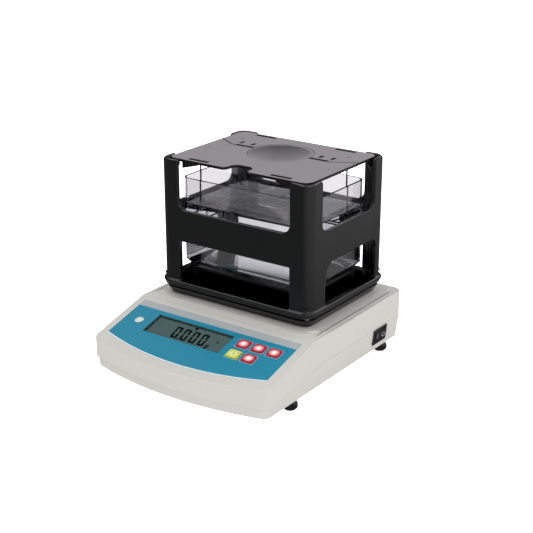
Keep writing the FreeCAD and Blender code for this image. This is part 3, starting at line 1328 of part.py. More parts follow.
def table_feet(body, y):
    """Feet under the outer corners of a plate, with which the table stands on the frame's shelves."""
    drawn = sketch(body, "XY_Plane", TABLE_LOW)
    for side in ("-", ""):
        peg_outline(drawn, f"{side}({TABLE_HALF_X} - dim.table_foot_in)", y, "dim.table_foot")
    pad(body, drawn, "dim.tab_deep", down=True)


front_plate = new_body("front_plate")
front_outline = sketch(front_plate, "XY_Plane", TABLE_LOW)
polygon(front_outline, [(f"-{TABLE_HALF_X}", TABLE_FRONT), (TABLE_HALF_X, TABLE_FRONT), (TABLE_HALF_X, SEAM_SIDE),
                        ("dim.seam_bend_x", SEAM), ("-dim.seam_bend_x", SEAM), (f"-{TABLE_HALF_X}", SEAM_SIDE)])
pad(front_plate, front_outline, "dim.table_thick")
soften(front_plate, "dim.table_round", table_corner(True), "Fillet")
pad(front_plate, circle(sketch(front_plate, "XY_Plane", TABLE_LOW), "0", DISH_Y, DISH_RIM), "dim.table_thick")
notch_top, notch_side = f"({TABLE_FRONT} + dim.notch_deep)", "(dim.notch_half - dim.notch_round)"
pocket(front_plate, polygon(sketch(front_plate, "XY_Plane"), [
    ("-dim.notch_half - dim.notch_flare", f"{TABLE_FRONT} - 1"), ("dim.notch_half + dim.notch_flare", f"{TABLE_FRONT} - 1"),
    ("dim.notch_half", f"{TABLE_FRONT} + dim.notch_flare"), ("dim.notch_half", f"{notch_top} - dim.notch_round"),
    (notch_side, notch_top), (f"-{notch_side}", notch_top), ("-dim.notch_half", f"{notch_top} - dim.notch_round"),
    ("-dim.notch_half", f"{TABLE_FRONT} + dim.notch_flare")],
    {1: "-dim.notch_round", 3: "dim.notch_round", 5: "dim.notch_round", 7: "-dim.notch_round"}), both=True)
slots(front_plate, "dim.edge_slot_inner", "dim.edge_slot_outer", f"{TABLE_FRONT} + dim.edge_slot_inset",
      f"{TABLE_FRONT} + dim.edge_slot_inset + dim.edge_slot_wide")
holes(front_plate, [("dim.front_pin_x", "dim.tower_y + dim.front_pin_back")])
edge_tabs(front_plate, f"{TABLE_FRONT} + dim.tab_thick")
table_feet(front_plate, f"{TABLE_FRONT} + dim.table_foot_in")
TONGUE_Y = "(dim.tower_y + dim.tongue_back)"
TONGUE_LOW = f"({TABLE_LOW} - dim.tongue_thick)"
tongues = sketch(front_plate, "XY_Plane", TONGUE_LOW)
nibs = sketch(front_plate, "XY_Plane", TONGUE_LOW)
for side in (-1, 1):
    ends = [f"({side} * (dim.tongue_inner - 3))", f"({side} * (dim.tongue_outer + 3))"][::side]
    rectangle(tongues, *ends, f"{SEAM} - 8", f"{TONGUE_Y} + dim.tongue_slot_long")
    for nib in ("dim.tongue_inner", "dim.tongue_outer"):
        rectangle(nibs, f"{side} * {nib} - dim.tongue_wide / 2", f"{side} * {nib} + dim.tongue_wide / 2",
                  f"{TONGUE_Y} - dim.tongue_slot_long / 2 + 0.3", f"{TONGUE_Y} + dim.tongue_slot_long / 2 - 0.3")
pad(front_plate, tongues, "dim.tongue_thick")
pad(front_plate, nibs, "dim.tongue_thick + dim.table_thick - 0.6")
dish_low = "(dim.frame_top - dim.dish_deep)"
dish_form = bowl("dish_form", TABLE_LOW, f"({dish_low} - dim.dish_wall)")
dish_hollow = bowl("dish_hollow", "dim.frame_top", dish_low)
piece(cut("table_front_plate", fuse("dished_plate", front_plate, dish_form), dish_hollow))

rear_plate = new_body("table_rear_plate")
rear_seam, rear_side = f"({SEAM} + dim.seam_gap)", f"({SEAM_SIDE} + dim.seam_gap)"
pad(rear_plate, polygon(sketch(rear_plate, "XY_Plane", TABLE_LOW), [
    (f"-{TABLE_HALF_X}", rear_side), ("-dim.seam_bend_x", rear_seam), ("dim.seam_bend_x", rear_seam),
    (TABLE_HALF_X, rear_side), (TABLE_HALF_X, TABLE_BACK), (f"-{TABLE_HALF_X}", TABLE_BACK)]), "dim.table_thick")
soften(rear_plate, "dim.table_round", table_corner(False), "Fillet")
pocket(rear_plate, circle(sketch(rear_plate, "XY_Plane"), "0", DISH_Y, f"({DISH_RIM} + dim.seam_gap)"), both=True)
slots(rear_plate, DISH_RIM, "dim.seam_wide_end", f"{rear_seam} - 1", f"{rear_seam} + dim.seam_wide")
slots(rear_plate, "dim.edge_slot_inner", "dim.edge_slot_outer",
      f"{TABLE_BACK} - dim.edge_slot_inset - dim.edge_slot_wide", f"{TABLE_BACK} - dim.edge_slot_inset")
for nib in ("dim.tongue_inner", "dim.tongue_outer"):
    slots(rear_plate, f"{nib} - dim.tongue_slot_wide / 2", f"{nib} + dim.tongue_slot_wide / 2",
          f"{TONGUE_Y} - dim.tongue_slot_long / 2", f"{TONGUE_Y} + dim.tongue_slot_long / 2")
holes(rear_plate, [("dim.rear_pin_x", "dim.tower_y + dim.rear_pin_back")])
edge_tabs(rear_plate, TABLE_BACK)
table_feet(rear_plate, f"{TABLE_BACK} - dim.table_foot_in")
piece(rear_plate)

WIRES = [(f"({side} * dim.basket_half_x)", f"(dim.tower_y + {end} * dim.basket_half_y)")
         for side in (-1, 1) for end in (-1, 1)]
HOOK_LOW = f"({TABLE_LOW} - dim.hook_block)"


def hook_block(name, x, y):
    half = "dim.hook_block / 2"
    block = box(f"{name}_block", f"{x} - {half}", f"{y} - {half}", HOOK_LOW, "dim.hook_block", "dim.hook_block",
                "dim.hook_block")
    return cut(name, block, peg(f"{name}_bore", "dim.wire_radius + 0.05", "dim.hook_block - 1", x, y,
                                f"{HOOK_LOW} - 1"))


piece(group("basket_hangers", *spots("hook_block", hook_block, WIRES)))


def basket_upright(name, x, y):
    return peg(name, "dim.wire_radius", f"{HOOK_LOW} + dim.hook_block - 2 - dim.basket_floor", x, y,
               "dim.basket_floor")


def wire_across(name, y, z):
    return peg(name, "dim.wire_radius", "2 * dim.basket_half_x", "-dim.basket_half_x", y, z,
               FreeCAD.Vector(0, 1, 0), "90")


def wire_along(name, x, z):
    return peg(name, "dim.wire_radius", "2 * dim.basket_half_y", x, "dim.tower_y + dim.basket_half_y", z,
               FreeCAD.Vector(1, 0, 0), "90")


FLOOR_CELLS = (6, 3)    # meshes of the basket's floor, across and along
basket_wires = spots("basket_upright", basket_upright, WIRES)
for level, height, cells in ((0, "dim.basket_floor", FLOOR_CELLS),
                             (1, "dim.basket_floor + dim.basket_rail", (1, 1))):
    for count, wire, half, middle in ((cells[0], wire_along, "dim.basket_half_x", "0"),
                                      (cells[1], wire_across, "dim.basket_half_y", "dim.tower_y")):
        basket_wires += [wire(f"{wire.__name__}_{level}_{step}",
                              f"{middle} + {2 * step / count - 1} * {half}", height) for step in range(count + 1)]
sample_basket = piece(fuse("sample_basket", *basket_wires))

# ---------------------------------------------------------------------------------------------------
# Water tank on its own table
# ---------------------------------------------------------------------------------------------------
TANK_X, TANK_Y = "(dim.tank_width / 2)", "(dim.tank_deep / 2)"
BENCH_LOW = f"({BENCH_TOP} - dim.bench_thick)"
bench_ring = new_body("bench_ring")
bench_plan = tower_rectangle(sketch(bench_ring, "XY_Plane", BENCH_LOW), f"{TANK_X} - dim.bench_inset",
                             f"{TANK_Y} - dim.bench_inset", "(dim.tank_round - dim.bench_inset)")
tower_rectangle(bench_plan, f"{TANK_X} - dim.bench_inset - dim.bench_rail",
                f"{TANK_Y} - dim.bench_inset - dim.bench_rail", "dim.tank_wall")
pad(bench_ring, bench_plan, "dim.bench_thick")


def stem(name, x, y):
    return peg(name, "dim.stem_radius", f"{BENCH_TOP} - {DRIP_FLOOR_TOP}", x, y, DRIP_FLOOR_TOP)


def finger(name, x, y, turn):
    """Curved claw from a corner of the table, out and down."""
    body = new_body(name)
    bend = "(dim.finger_reach + dim.finger_thick / 2 - dim.finger_drop)"
    inner = "(dim.finger_drop - dim.finger_thick)"
    tip = f"({BENCH_TOP} - dim.finger_drop)"
    drawn = polygon(sketch(body, "XZ_Plane"), [
        ("2", BENCH_LOW), (bend, BENCH_LOW), (f"{bend} + {inner}", tip), (f"{bend} + dim.finger_drop", tip),
        (bend, BENCH_TOP), ("2", BENCH_TOP)], {1: "-" + inner, 3: "dim.finger_drop"})
    pad(body, drawn, "dim.finger_wide", both=True)
    return put(body, x, y, "0", FreeCAD.Vector(0, 0, 1), turn)


fingers = [finger(f"finger_{number}", x, y, turn)
           for number, ((x, y), turn) in enumerate(zip(STEMS, ("-135", "135", "-45", "45")))]
tank_table = piece(fuse("tank_table", bench_ring, *spots("stem", stem, STEMS), *fingers))

TANK_PADS = [(f"({side} * ({TANK_X} - dim.tank_foot_bevel - dim.pad_radius))",
              f"(dim.tower_y + {end} * ({TANK_Y} - dim.tank_foot_bevel - dim.pad_radius))")
             for side in (-1, 1) for end in (-1, 1)]


def tank_pad(name, x, y):
    return peg(name, "dim.pad_radius", "dim.pad_thick", x, y, BENCH_TOP)


piece(group("tank_pads", *spots("tank_pad", tank_pad, TANK_PADS)))


def tank_block(name, inset, extra):
    body = new_body(name)
    low = f"(dim.tank_bottom + {inset})"
    plan = tower_rectangle(sketch(body, "XY_Plane", low), f"{TANK_X} - {inset}", f"{TANK_Y} - {inset}",
                           f"(dim.tank_round - {inset})")
    pad(body, plan, f"dim.tank_high - {inset} + {extra}")
    soften(body, f"dim.tank_foot_bevel - {inset} / 2", at_height(low))
    return body


water_tank = piece(cut("water_tank", tank_block("tank_outer", "0", "0"), tank_block("tank_inner", "dim.tank_wall", "1")))

# ---------------------------------------------------------------------------------------------------
# Build and export
# ---------------------------------------------------------------------------------------------------
doc.recompute()
failed = [thing.Label for thing in doc.Objects if {"Invalid", "Error"} & set(thing.State)]
if failed:
    raise RuntimeError("objects that failed: " + ", ".join(failed))
os.makedirs("parts", exist_ok=True)
for part in PIECES:
    if part.Shape.isNull() or not part.Shape.isValid():
        raise RuntimeError("bad shape: " + part.Label)
    part.Shape.exportStep(f"parts/{part.Label}.step")
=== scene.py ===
# %% [markdown]
# # A benchtop density meter, dressed in Blender
#
# The instrument is a laboratory balance with a sloping keypad panel.  Behind the panel a black four-post
# frame stands on the weighed tray, and a clear tank of water stands inside the frame on its own table.
# Its solids arrive finished from CAD.  This lesson gives them the edges, finishes, print and water that the
# eye expects, and lights them in a plain white studio.

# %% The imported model
import math

import bmesh
import bpy
from mathutils import Matrix, Vector
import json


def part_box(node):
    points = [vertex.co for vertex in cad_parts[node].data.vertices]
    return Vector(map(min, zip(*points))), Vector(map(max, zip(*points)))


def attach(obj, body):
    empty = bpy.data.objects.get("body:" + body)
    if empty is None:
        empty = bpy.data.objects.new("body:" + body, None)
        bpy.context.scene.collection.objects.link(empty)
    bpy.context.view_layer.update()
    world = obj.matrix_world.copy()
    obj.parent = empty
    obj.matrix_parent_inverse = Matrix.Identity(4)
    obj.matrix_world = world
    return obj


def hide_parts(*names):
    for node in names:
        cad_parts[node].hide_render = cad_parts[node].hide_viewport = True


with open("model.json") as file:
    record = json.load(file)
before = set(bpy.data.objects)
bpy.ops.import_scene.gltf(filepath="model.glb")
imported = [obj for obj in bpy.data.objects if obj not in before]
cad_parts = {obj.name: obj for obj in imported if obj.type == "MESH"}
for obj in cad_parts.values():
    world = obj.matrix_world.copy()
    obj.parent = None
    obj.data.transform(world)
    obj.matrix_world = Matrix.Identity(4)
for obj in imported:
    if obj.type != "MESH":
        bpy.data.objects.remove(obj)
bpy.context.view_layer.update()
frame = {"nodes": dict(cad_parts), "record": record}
BODY_OF = {node: body for body, nodes in frame["record"]["behaviour"]["bodies"].items() for node in nodes}

# %% [markdown]
# ## Where things are
#
# Blender works in metres here.  The balance's panel slopes at one angle, so its print and its display are
# easiest to lay out flat, in millimetres across and up the panel, and then to carry onto the slope with one
# matrix.  The side wall with the power switch gets a matrix of its own in the same way.

# %% Helpers for places
MM = 0.001
PANEL_FRONT_Y, PANEL_LOW_Z, SHOULDER_Z, PANEL_RUN = -107.5, 39.6, 58.6, 71.7
SLOPE = math.atan((SHOULDER_Z - PANEL_LOW_Z) / PANEL_RUN)
PANEL = Matrix.Translation((0, PANEL_FRONT_Y * MM, PANEL_LOW_Z * MM)) @ Matrix.Rotation(SLOPE, 4, "X")
WALL_X, WALL_FOOT_Z, WALL_TILT = 100.0, 16.0, math.radians(7)     # the wall leans in above its foot
SWITCH_Y, SWITCH_Z = 79.5, 24.5
WALL_IN = (SWITCH_Z - WALL_FOOT_Z) * math.tan(WALL_TILT)
SIDE_WALL = (Matrix.Translation(((WALL_X - WALL_IN) * MM, SWITCH_Y * MM, SWITCH_Z * MM))
             @ Matrix.Rotation(WALL_TILT, 4, "Y"))


def at(matrix, x, y, z=0.0):
    """A matrix moved by millimetres in its own axes."""
    return matrix @ Matrix.Translation((x * MM, y * MM, z * MM))


print(f"panel slope {math.degrees(SLOPE):.2f} degrees")

# %% [markdown]
# ## The camera
#
# A product shot from the right and a little above, with a long lens, so that upright edges stay nearly
# parallel.  The lens shift keeps the instrument a little left of the middle of the frame.

# %% Camera
FRAME_PX = 533
CAMERA = {"target": (0, 0.0075, 0.085), "distance": 1.1475, "azimuth": 36.014, "elevation": 20.964,
          "roll": -0.217, "focal_px": 1209.8, "centre_px": (252.0, 276.44)}


def place_camera(spec):
    """A camera that looks at its target from a distance, at an azimuth and an elevation in degrees."""
    turn, lift, roll = (math.radians(spec[key]) for key in ("azimuth", "elevation", "roll"))
    forward = Vector((-math.sin(turn) * math.cos(lift), math.cos(turn) * math.cos(lift), -math.sin(lift)))
    level = Vector((math.cos(turn), math.sin(turn), 0))
    raised = level.cross(forward)
    right = level * math.cos(roll) + raised * math.sin(roll)
    up = raised * math.cos(roll) - level * math.sin(roll)
    lens = bpy.data.cameras.new("camera")
    lens.lens = spec["focal_px"] / FRAME_PX * lens.sensor_width
    lens.shift_x = (FRAME_PX / 2 - spec["centre_px"][0]) / FRAME_PX
    lens.shift_y = (spec["centre_px"][1] - FRAME_PX / 2) / FRAME_PX
    lens.clip_start = 0.05
    camera = bpy.data.objects.new("camera", lens)
    turned = Matrix((right, up, -forward)).transposed().to_4x4()
    camera.matrix_world = Matrix.Translation(Vector(spec["target"]) - forward * spec["distance"]) @ turned
    bpy.context.collection.objects.link(camera)
    bpy.context.scene.camera = camera
    return camera


print(f"lens {place_camera(CAMERA).data.lens:.1f} mm")

# %% [markdown]
# ## Material helpers
#
# Colours are written as sRGB hex values, as a paint chart gives them, and one function turns them linear.
# Another adds any node with its settings and its links, so that each finish below reads as a short recipe.
#
# Most surfaces here have a fine grain, from a spark-eroded mould, from machining or from paint.  A real grain
# is 0.05 to 0.2 mm, and one pixel of the render is nearly 1 mm, so the grains are drawn at 0.4 mm and more.
# Then they break up a highlight a little, and show from close by.

# %% Colour and node helpers
def linear(hex_value):
    """sRGB hex, such as "D9D8D2", to linear RGBA."""
    parts = [int(hex_value[i:i + 2], 16) / 255 for i in (0, 2, 4)]
    return tuple(c / 12.92 if c <= 0.04045 else ((c + 0.055) / 1.055) ** 2.4 for c in parts) + (1.0,)


def add_node(tree, kind, inputs=None, **settings):
    """A node with its settings; an input is a value, or another node's output to link from."""
    node = tree.nodes.new(kind)
    for name, setting in settings.items():
        setattr(node, name, setting)
    for name, wanted in (inputs or {}).items():
        socket = node.inputs[name]
        if isinstance(wanted, bpy.types.NodeSocket):
            tree.links.new(wanted, socket)
        else:
            socket.default_value = wanted
    return node


def insides(material):
    """A material's node tree and its Principled shader."""
    return material.node_tree, material.node_tree.nodes["Principled BSDF"]


def add_grain(material, grain_mm, depth_mm, strength):
    """Fine surface texture, as bump on Object coordinates."""
    tree, shader = insides(material)
    place = add_node(tree, "ShaderNodeTexCoord")
    grain = add_node(tree, "ShaderNodeTexNoise", {
        "Vector": place.outputs["Object"], "Scale": 1 / (grain_mm * MM), "Detail": 3.0, "Roughness": 0.55})
    bump = add_node(tree, "ShaderNodeBump", {
        "Height": grain.outputs["Fac"], "Distance": depth_mm * MM, "Strength": strength})
    tree.links.new(bump.outputs["Normal"], shader.inputs["Normal"])


def new_finish(name, color, roughness, grain=None, **shader_inputs):
    """A material with one Principled shader; its grain is a size in mm, a depth in mm and a strength."""
    material = bpy.data.materials.new(name)
    material.use_nodes = True
    tree, shader = insides(material)
    shader.inputs["Base Color"].default_value = linear(color)
    shader.inputs["Roughness"].default_value = roughness
    for socket, number in shader_inputs.items():
        shader.inputs[socket.replace("_", " ")].default_value = number
    if grain:
        add_grain(material, *grain)
    return material


print("helpers ready")

# %% [markdown]
# ## Moulded plastics
#
# The housing is ABS, injection moulded in a warm off-white from a spark-eroded tool.  The frame, the trays
# and the tank's table are black ABS: the frame from a finely textured tool, the trays from a polished one.
# The textures could come from pictures, which would stretch over the walls.  Noise on Object coordinates
# fills space instead, and so it has the same size on every face.

# %% Plastics
HOUSING_TONES, PATCH_MM = ("BFBDB8", "C2C0BB"), 45


def mottle(material, tones, patch_mm):
    """Slow, faint change of tone across a moulding, as its gloss varies with the flow of the plastic."""
    tree, shader = insides(material)
    place = add_node(tree, "ShaderNodeTexCoord")
    patch = add_node(tree, "ShaderNodeTexNoise", {
        "Vector": place.outputs["Object"], "Scale": 1 / (patch_mm * MM), "Detail": 2.0})
    mix = add_node(tree, "ShaderNodeMix", {
        "Factor": patch.outputs["Fac"], "A": linear(tones[0]), "B": linear(tones[1])}, data_type="RGBA")
    tree.links.new(mix.outputs["Result"], shader.inputs["Base Color"])


# satin: the grain spreads a lamp into a soft glow, and the tone drifts by a shade every few centimetres
housing_abs = new_finish("moulded_abs_offwhite", "C3C1BC", 0.45, grain=(0.7, 0.02, 0.35), IOR=1.53)
mottle(housing_abs, HOUSING_TONES, PATCH_MM)
# semi-gloss: flat faces stay deep black, and rounded edges draw thin pale lines
frame_abs = new_finish("moulded_abs_black", "0C0D0E", 0.3, grain=(0.8, 0.01, 0.2), IOR=1.53)
# polished: hardly any grain, so that the tray's floor stays black and its rims draw clean lines
tray_abs = new_finish("polished_abs_black", "121216", 0.34, grain=(2.5, 0.01, 0.02), IOR=1.45)
# small nylon mouldings: black with a slight shine
switch_nylon = new_finish("moulded_nylon_black", "131316", 0.3, IOR=1.53)
print("plastics made")

# %% [markdown]
# ## The measuring table's coat
#
# The measuring table is black ABS with a grey coat sprayed on its top.  The coat stops at the edges, and
# there the black shows.  The slots are cut through in CAD, and the two halves meet at a seam.  From a low
# angle the shade in them would hardly show, so the recipe paints that shadow black round the slots and along
# the seam, and a faint painted shadow line round the dish.  It goes by place: each point is compared with the
# slots' middles and half sizes.  That takes no extra pieces, and the lines stay sharp at any distance.

# %% Where the coat is left off
TABLE_LOW_Y, TABLE_HIGH_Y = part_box("table_front_plate")[0][1] / MM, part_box("table_rear_plate")[1][1] / MM
TABLE_SIDE_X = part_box("table_front_plate")[1][0] / MM
TABLE_MID_Y = (TABLE_LOW_Y + TABLE_HIGH_Y) / 2
# painted slot shadows, in mm: middle and half width across, middle and half height up; each has a twin at -x
SLOT_SHADOWS = [((46.2, 11.4), (TABLE_LOW_Y + 5.2, 2.3)), ((46.2, 11.4), (TABLE_HIGH_Y - 5.2, 2.3)),
              ((42.5, 10.2), (TABLE_MID_Y + 12.6, 2.2)),
              ((39.1, 1.8), (TABLE_MID_Y + 22.5, 3.7)), ((52.3, 1.8), (TABLE_MID_Y + 22.5, 3.7))]
# the seam's painted shadow line: how far behind the table's middle, and at its sides; where it bends; half
# its width
SEAM_BACK, SEAM_SIDE_BACK, SEAM_BEND_X, SEAM_SHADOW_HALF = 12.0, 24.4, 57.0, 0.9
DISH_BACK, DISH_EDGE = 11.0, 31.0                       # its middle behind the table's, and its radius
SHADOW_RING_HALF, SHADOW_RING_FADE_X, SHADOW_RING_SHARE = 0.4, -24.0, 0.85   # half its width, where it fades, and how dark the painted shadow line is
DISH_CENTRE = Vector((0, TABLE_MID_Y + DISH_BACK, 0)) * MM


def slot_shadow_masks(tree, split, across):
    """One painted-shadow mask for each slot: 1 where a point is within its half sizes of its middle."""
    for (x, half_x), (y, half_y) in SLOT_SHADOWS:
        in_x = add_node(tree, "ShaderNodeMath", {0: across.outputs[0], 1: x * MM, 2: half_x * MM},
                        operation="COMPARE")
        in_y = add_node(tree, "ShaderNodeMath", {0: split.outputs["Y"], 1: y * MM, 2: half_y * MM},
                        operation="COMPARE")
        yield add_node(tree, "ShaderNodeMath", {0: in_x.outputs[0], 1: in_y.outputs[0]},
                       operation="MULTIPLY")


def seam_shadow_mask(tree, split, across):
    """The seam's painted shadow line: straight across the middle, bent back towards the sides, and not inside
    the dish.
    """
    line = add_node(tree, "ShaderNodeMapRange", {
        "Value": across.outputs[0], "From Min": SEAM_BEND_X * MM, "From Max": TABLE_SIDE_X * MM,
        "To Min": (TABLE_MID_Y + SEAM_BACK) * MM, "To Max": (TABLE_MID_Y + SEAM_SIDE_BACK) * MM})
    on_seam = add_node(tree, "ShaderNodeMath", {
        0: split.outputs["Y"], 1: line.outputs["Result"], 2: SEAM_SHADOW_HALF * MM}, operation="COMPARE")
    outside = add_node(tree, "ShaderNodeMath", {0: across.outputs[0], 1: DISH_EDGE * MM},
                       operation="GREATER_THAN")
    return add_node(tree, "ShaderNodeMath", {0: on_seam.outputs[0], 1: outside.outputs[0]},
                    operation="MULTIPLY")


def shadow_ring_mask(tree, split):
    """A faint painted shadow line round the dish's edge, which fades out from left to right."""
    flat = add_node(tree, "ShaderNodeCombineXYZ", {"X": split.outputs["X"], "Y": split.outputs["Y"]})
    reach = add_node(tree, "ShaderNodeVectorMath", {0: flat.outputs[0], 1: DISH_CENTRE}, operation="DISTANCE")
    on_ring = add_node(tree, "ShaderNodeMath", {
        0: reach.outputs["Value"], 1: DISH_EDGE * MM, 2: SHADOW_RING_HALF * MM}, operation="COMPARE")
    fading = add_node(tree, "ShaderNodeMapRange", {
        "Value": split.outputs["X"], "From Min": SHADOW_RING_FADE_X * MM, "From Max": 0.0,
        "To Min": SHADOW_RING_SHARE, "To Max": 0.0})
    return add_node(tree, "ShaderNodeMath", {0: on_ring.outputs[0], 1: fading.outputs["Result"]},
                    operation="MULTIPLY")


def painted_shadow_mask(tree, place):
    """1 where painted shadow takes the coat's place: at the slots, along the seam and faintly round the dish.
    """
    split = add_node(tree, "ShaderNodeSeparateXYZ", {"Vector": place.outputs["Object"]})
    across = add_node(tree, "ShaderNodeMath", {0: split.outputs["X"]}, operation="ABSOLUTE")
    total = seam_shadow_mask(tree, split, across)
    for mask in (*slot_shadow_masks(tree, split, across), shadow_ring_mask(tree, split)):
        total = add_node(tree, "ShaderNodeMath", {0: total.outputs[0], 1: mask.outputs[0]},
                         operation="MAXIMUM")
    return total


# counts the slots that get painted shadow round them
print(2 * len(SLOT_SHADOWS), "slots left bare")

# %% [markdown]
# The dish is coated too.  Towards its far left the real dish turns away from the room and falls to a dark
# tone.  In this white studio light comes from all round and would leave it flat, so that shade is painted
# into the coat's colour, by place as well.

# %% The coat and its painted shade
# painted shade: the dark tone across the dish; the bare tone is the plate's own black on the edges and the
# painted shadow in the slots, along the seam and round the dish
COAT_TONE, PAINTED_SHADE_TONE, BARE_AND_SHADOW_TONE = "837E81", "36363A", "0B0B0D"
COATED_FROM, COATED_FULLY = 0.78, 0.86                  # how far up a face looks, from 0 to 1
SHADE_WAY, SHADE_START, SHADE_END = Vector((-0.588, 0.809, 0)), -12.0, 27.0
SHADE_EDGE, SHADE_FULLY = 30.8, 29.2                      # radii between which the painted shade sets in


def dish_shade(tree, place):
    """How much painted shade: 0 outside the dish, and inside it rising from 0 to 1 along the shade's way."""
    from_middle = add_node(tree, "ShaderNodeVectorMath", {0: place.outputs["Object"], 1: DISH_CENTRE},
                           operation="SUBTRACT")
    along = add_node(tree, "ShaderNodeVectorMath", {0: from_middle.outputs[0], 1: SHADE_WAY},
                     operation="DOT_PRODUCT")
    rising = add_node(tree, "ShaderNodeMapRange", {
        "Value": along.outputs["Value"], "From Min": SHADE_START * MM, "From Max": SHADE_END * MM})
    level = add_node(tree, "ShaderNodeVectorMath", {0: from_middle.outputs[0], 1: Vector((1, 1, 0))},
                     operation="MULTIPLY")
    reach = add_node(tree, "ShaderNodeVectorMath", {0: level.outputs[0]}, operation="LENGTH")
    inside = add_node(tree, "ShaderNodeMapRange", {
        "Value": reach.outputs["Value"], "From Min": SHADE_EDGE * MM, "From Max": SHADE_FULLY * MM})
    return add_node(tree, "ShaderNodeMath", {0: rising.outputs["Result"], 1: inside.outputs["Result"]},
                    operation="MULTIPLY")


def coated_top():
    """Grey coat on what faces up, with painted shade in the dish; bare black on the edges, and painted shadow
    in the slots, along the seam and round the dish.
    """
    material = new_finish("coated_abs_grey", "8A8588", 0.45, grain=(0.6, 0.012, 0.3), IOR=1.45)
    tree, shader = insides(material)
    place = add_node(tree, "ShaderNodeTexCoord")
    facing = add_node(tree, "ShaderNodeNewGeometry")
    split = add_node(tree, "ShaderNodeSeparateXYZ", {"Vector": facing.outputs["Normal"]})
    up = add_node(tree, "ShaderNodeMapRange", {
        "Value": split.outputs["Z"], "From Min": COATED_FROM, "From Max": COATED_FULLY})
    coated = add_node(tree, "ShaderNodeMath", {
        0: up.outputs["Result"], 1: painted_shadow_mask(tree, place).outputs[0]}, operation="SUBTRACT", use_clamp=True)
    # painted shade: the coat's grey falls towards the dark tone across the dish
    coat = add_node(tree, "ShaderNodeMix", {
        "Factor": dish_shade(tree, place).outputs[0], "A": linear(COAT_TONE), "B": linear(PAINTED_SHADE_TONE)},
        data_type="RGBA")
    whole = add_node(tree, "ShaderNodeMix", {
        "Factor": coated.outputs[0], "A": linear(BARE_AND_SHADOW_TONE), "B": coat.outputs["Result"]}, data_type="RGBA")
    tree.links.new(whole.outputs["Result"], shader.inputs["Base Color"])
    return material


# sprayed coat: a soft grey without a mirror image, so that the plate reads as one even tone, apart from the
# painted shade in the dish and the painted shadows
plate_abs = coated_top()
print("coat made")

# %% [markdown]
# ## Clear parts
#
# The tank is cast acrylic, with an index of refraction of 1.49, and water has 1.33.  Both are real refracting
# solids here.  Path tracing cannot throw caustics through them cheaply, so their shadows are let through with
# a transparent shader, which keeps the inside of the tank as bright as it is on a bench.  The same shader can
# take more of a surface away: the display's lens has an anti-glare coat and is let through whole, and the
# painted sheen on the water is a pale film that is mostly let through.

# %% Acrylic, water and display glass
def clear_finish(name, color, roughness, index, shadow, kept=1.0, **shader_inputs):
    """A clear solid with a light shadow; with kept below 1, the rest of its surface is let through."""
    material = new_finish(name, color, roughness, IOR=index, **{"Transmission_Weight": 1.0, **shader_inputs})
    tree, shader = insides(material)
    path = add_node(tree, "ShaderNodeLightPath")
    see_through = add_node(tree, "ShaderNodeBsdfTransparent", {"Color": linear(shadow)})
    passed = add_node(tree, "ShaderNodeMath", {0: path.outputs["Is Shadow Ray"], 1: 1 - kept},
                      operation="MAXIMUM")
    mix = add_node(tree, "ShaderNodeMixShader", {
        0: passed.outputs[0], 1: shader.outputs[0], 2: see_through.outputs[0]})
    tree.links.new(mix.outputs[0], tree.nodes["Material Output"].inputs["Surface"])
    return material


# clear as glass, with a hint of violet grey where the eye looks along a wall
tank_acrylic = clear_finish("cast_acrylic_clear", "F2F0F3", 0.0, 1.49, "E8E8EC")
# clean water: seen by what it bends, by the line it draws at the wall and by its dark mirror of the frame
tank_water = clear_finish("water", "F8FAFB", 0.0, 1.33, "EEF4F4")
# painted sheen: a faint pale film that lifts the dark picture on the water's surface, as mirrored room light
# does
water_painted_sheen = clear_finish("water_surface_painted_sheen", "DCDCE6", 0.5, 1.33, "FFFFFF", kept=0.24,
                          Transmission_Weight=0.0, Specular_IOR_Level=0.0)
# coated against glare, so that nothing hides the figures
lens_acrylic = clear_finish("display_lens_acrylic", "EEF4F2", 0.03, 1.49, "E8F0EE", kept=0.0)
# a small bright glint over the bubble
vial_glass = clear_finish("level_glass", "F6FAF8", 0.02, 1.5, "F0F6F4")
print("clear parts made")

# %% [markdown]
# ## The printed film
#
# One polyester film covers the panel.  It is printed from behind in a strong blue green, with a grey band
# along its top edge and a fine pale line that follows its curved lower edge.  A printer would draw this on
# flat film, so the recipe works out each point's distance up the panel and its distance from the centre of
# the lower curve, and picks the ink from those two numbers.  A picture would do as well from afar, but these
# inks keep a sharp edge at any zoom.

# %% Film
BAND_LOW_Y = 58.0                                       # millimetres up the panel
# the lower curve: half its chord, its bow, how far up the panel its ends are, and its line's width
CURVE_HALF, CURVE_BOW, CURVE_SIDE_Y, LINE_WIDE = 91.0, 13.8, 10.4, 0.9
PANEL_INK, BAND_INK, LINE_INK = "177D99", "A0A6A9", "DCEFF2"


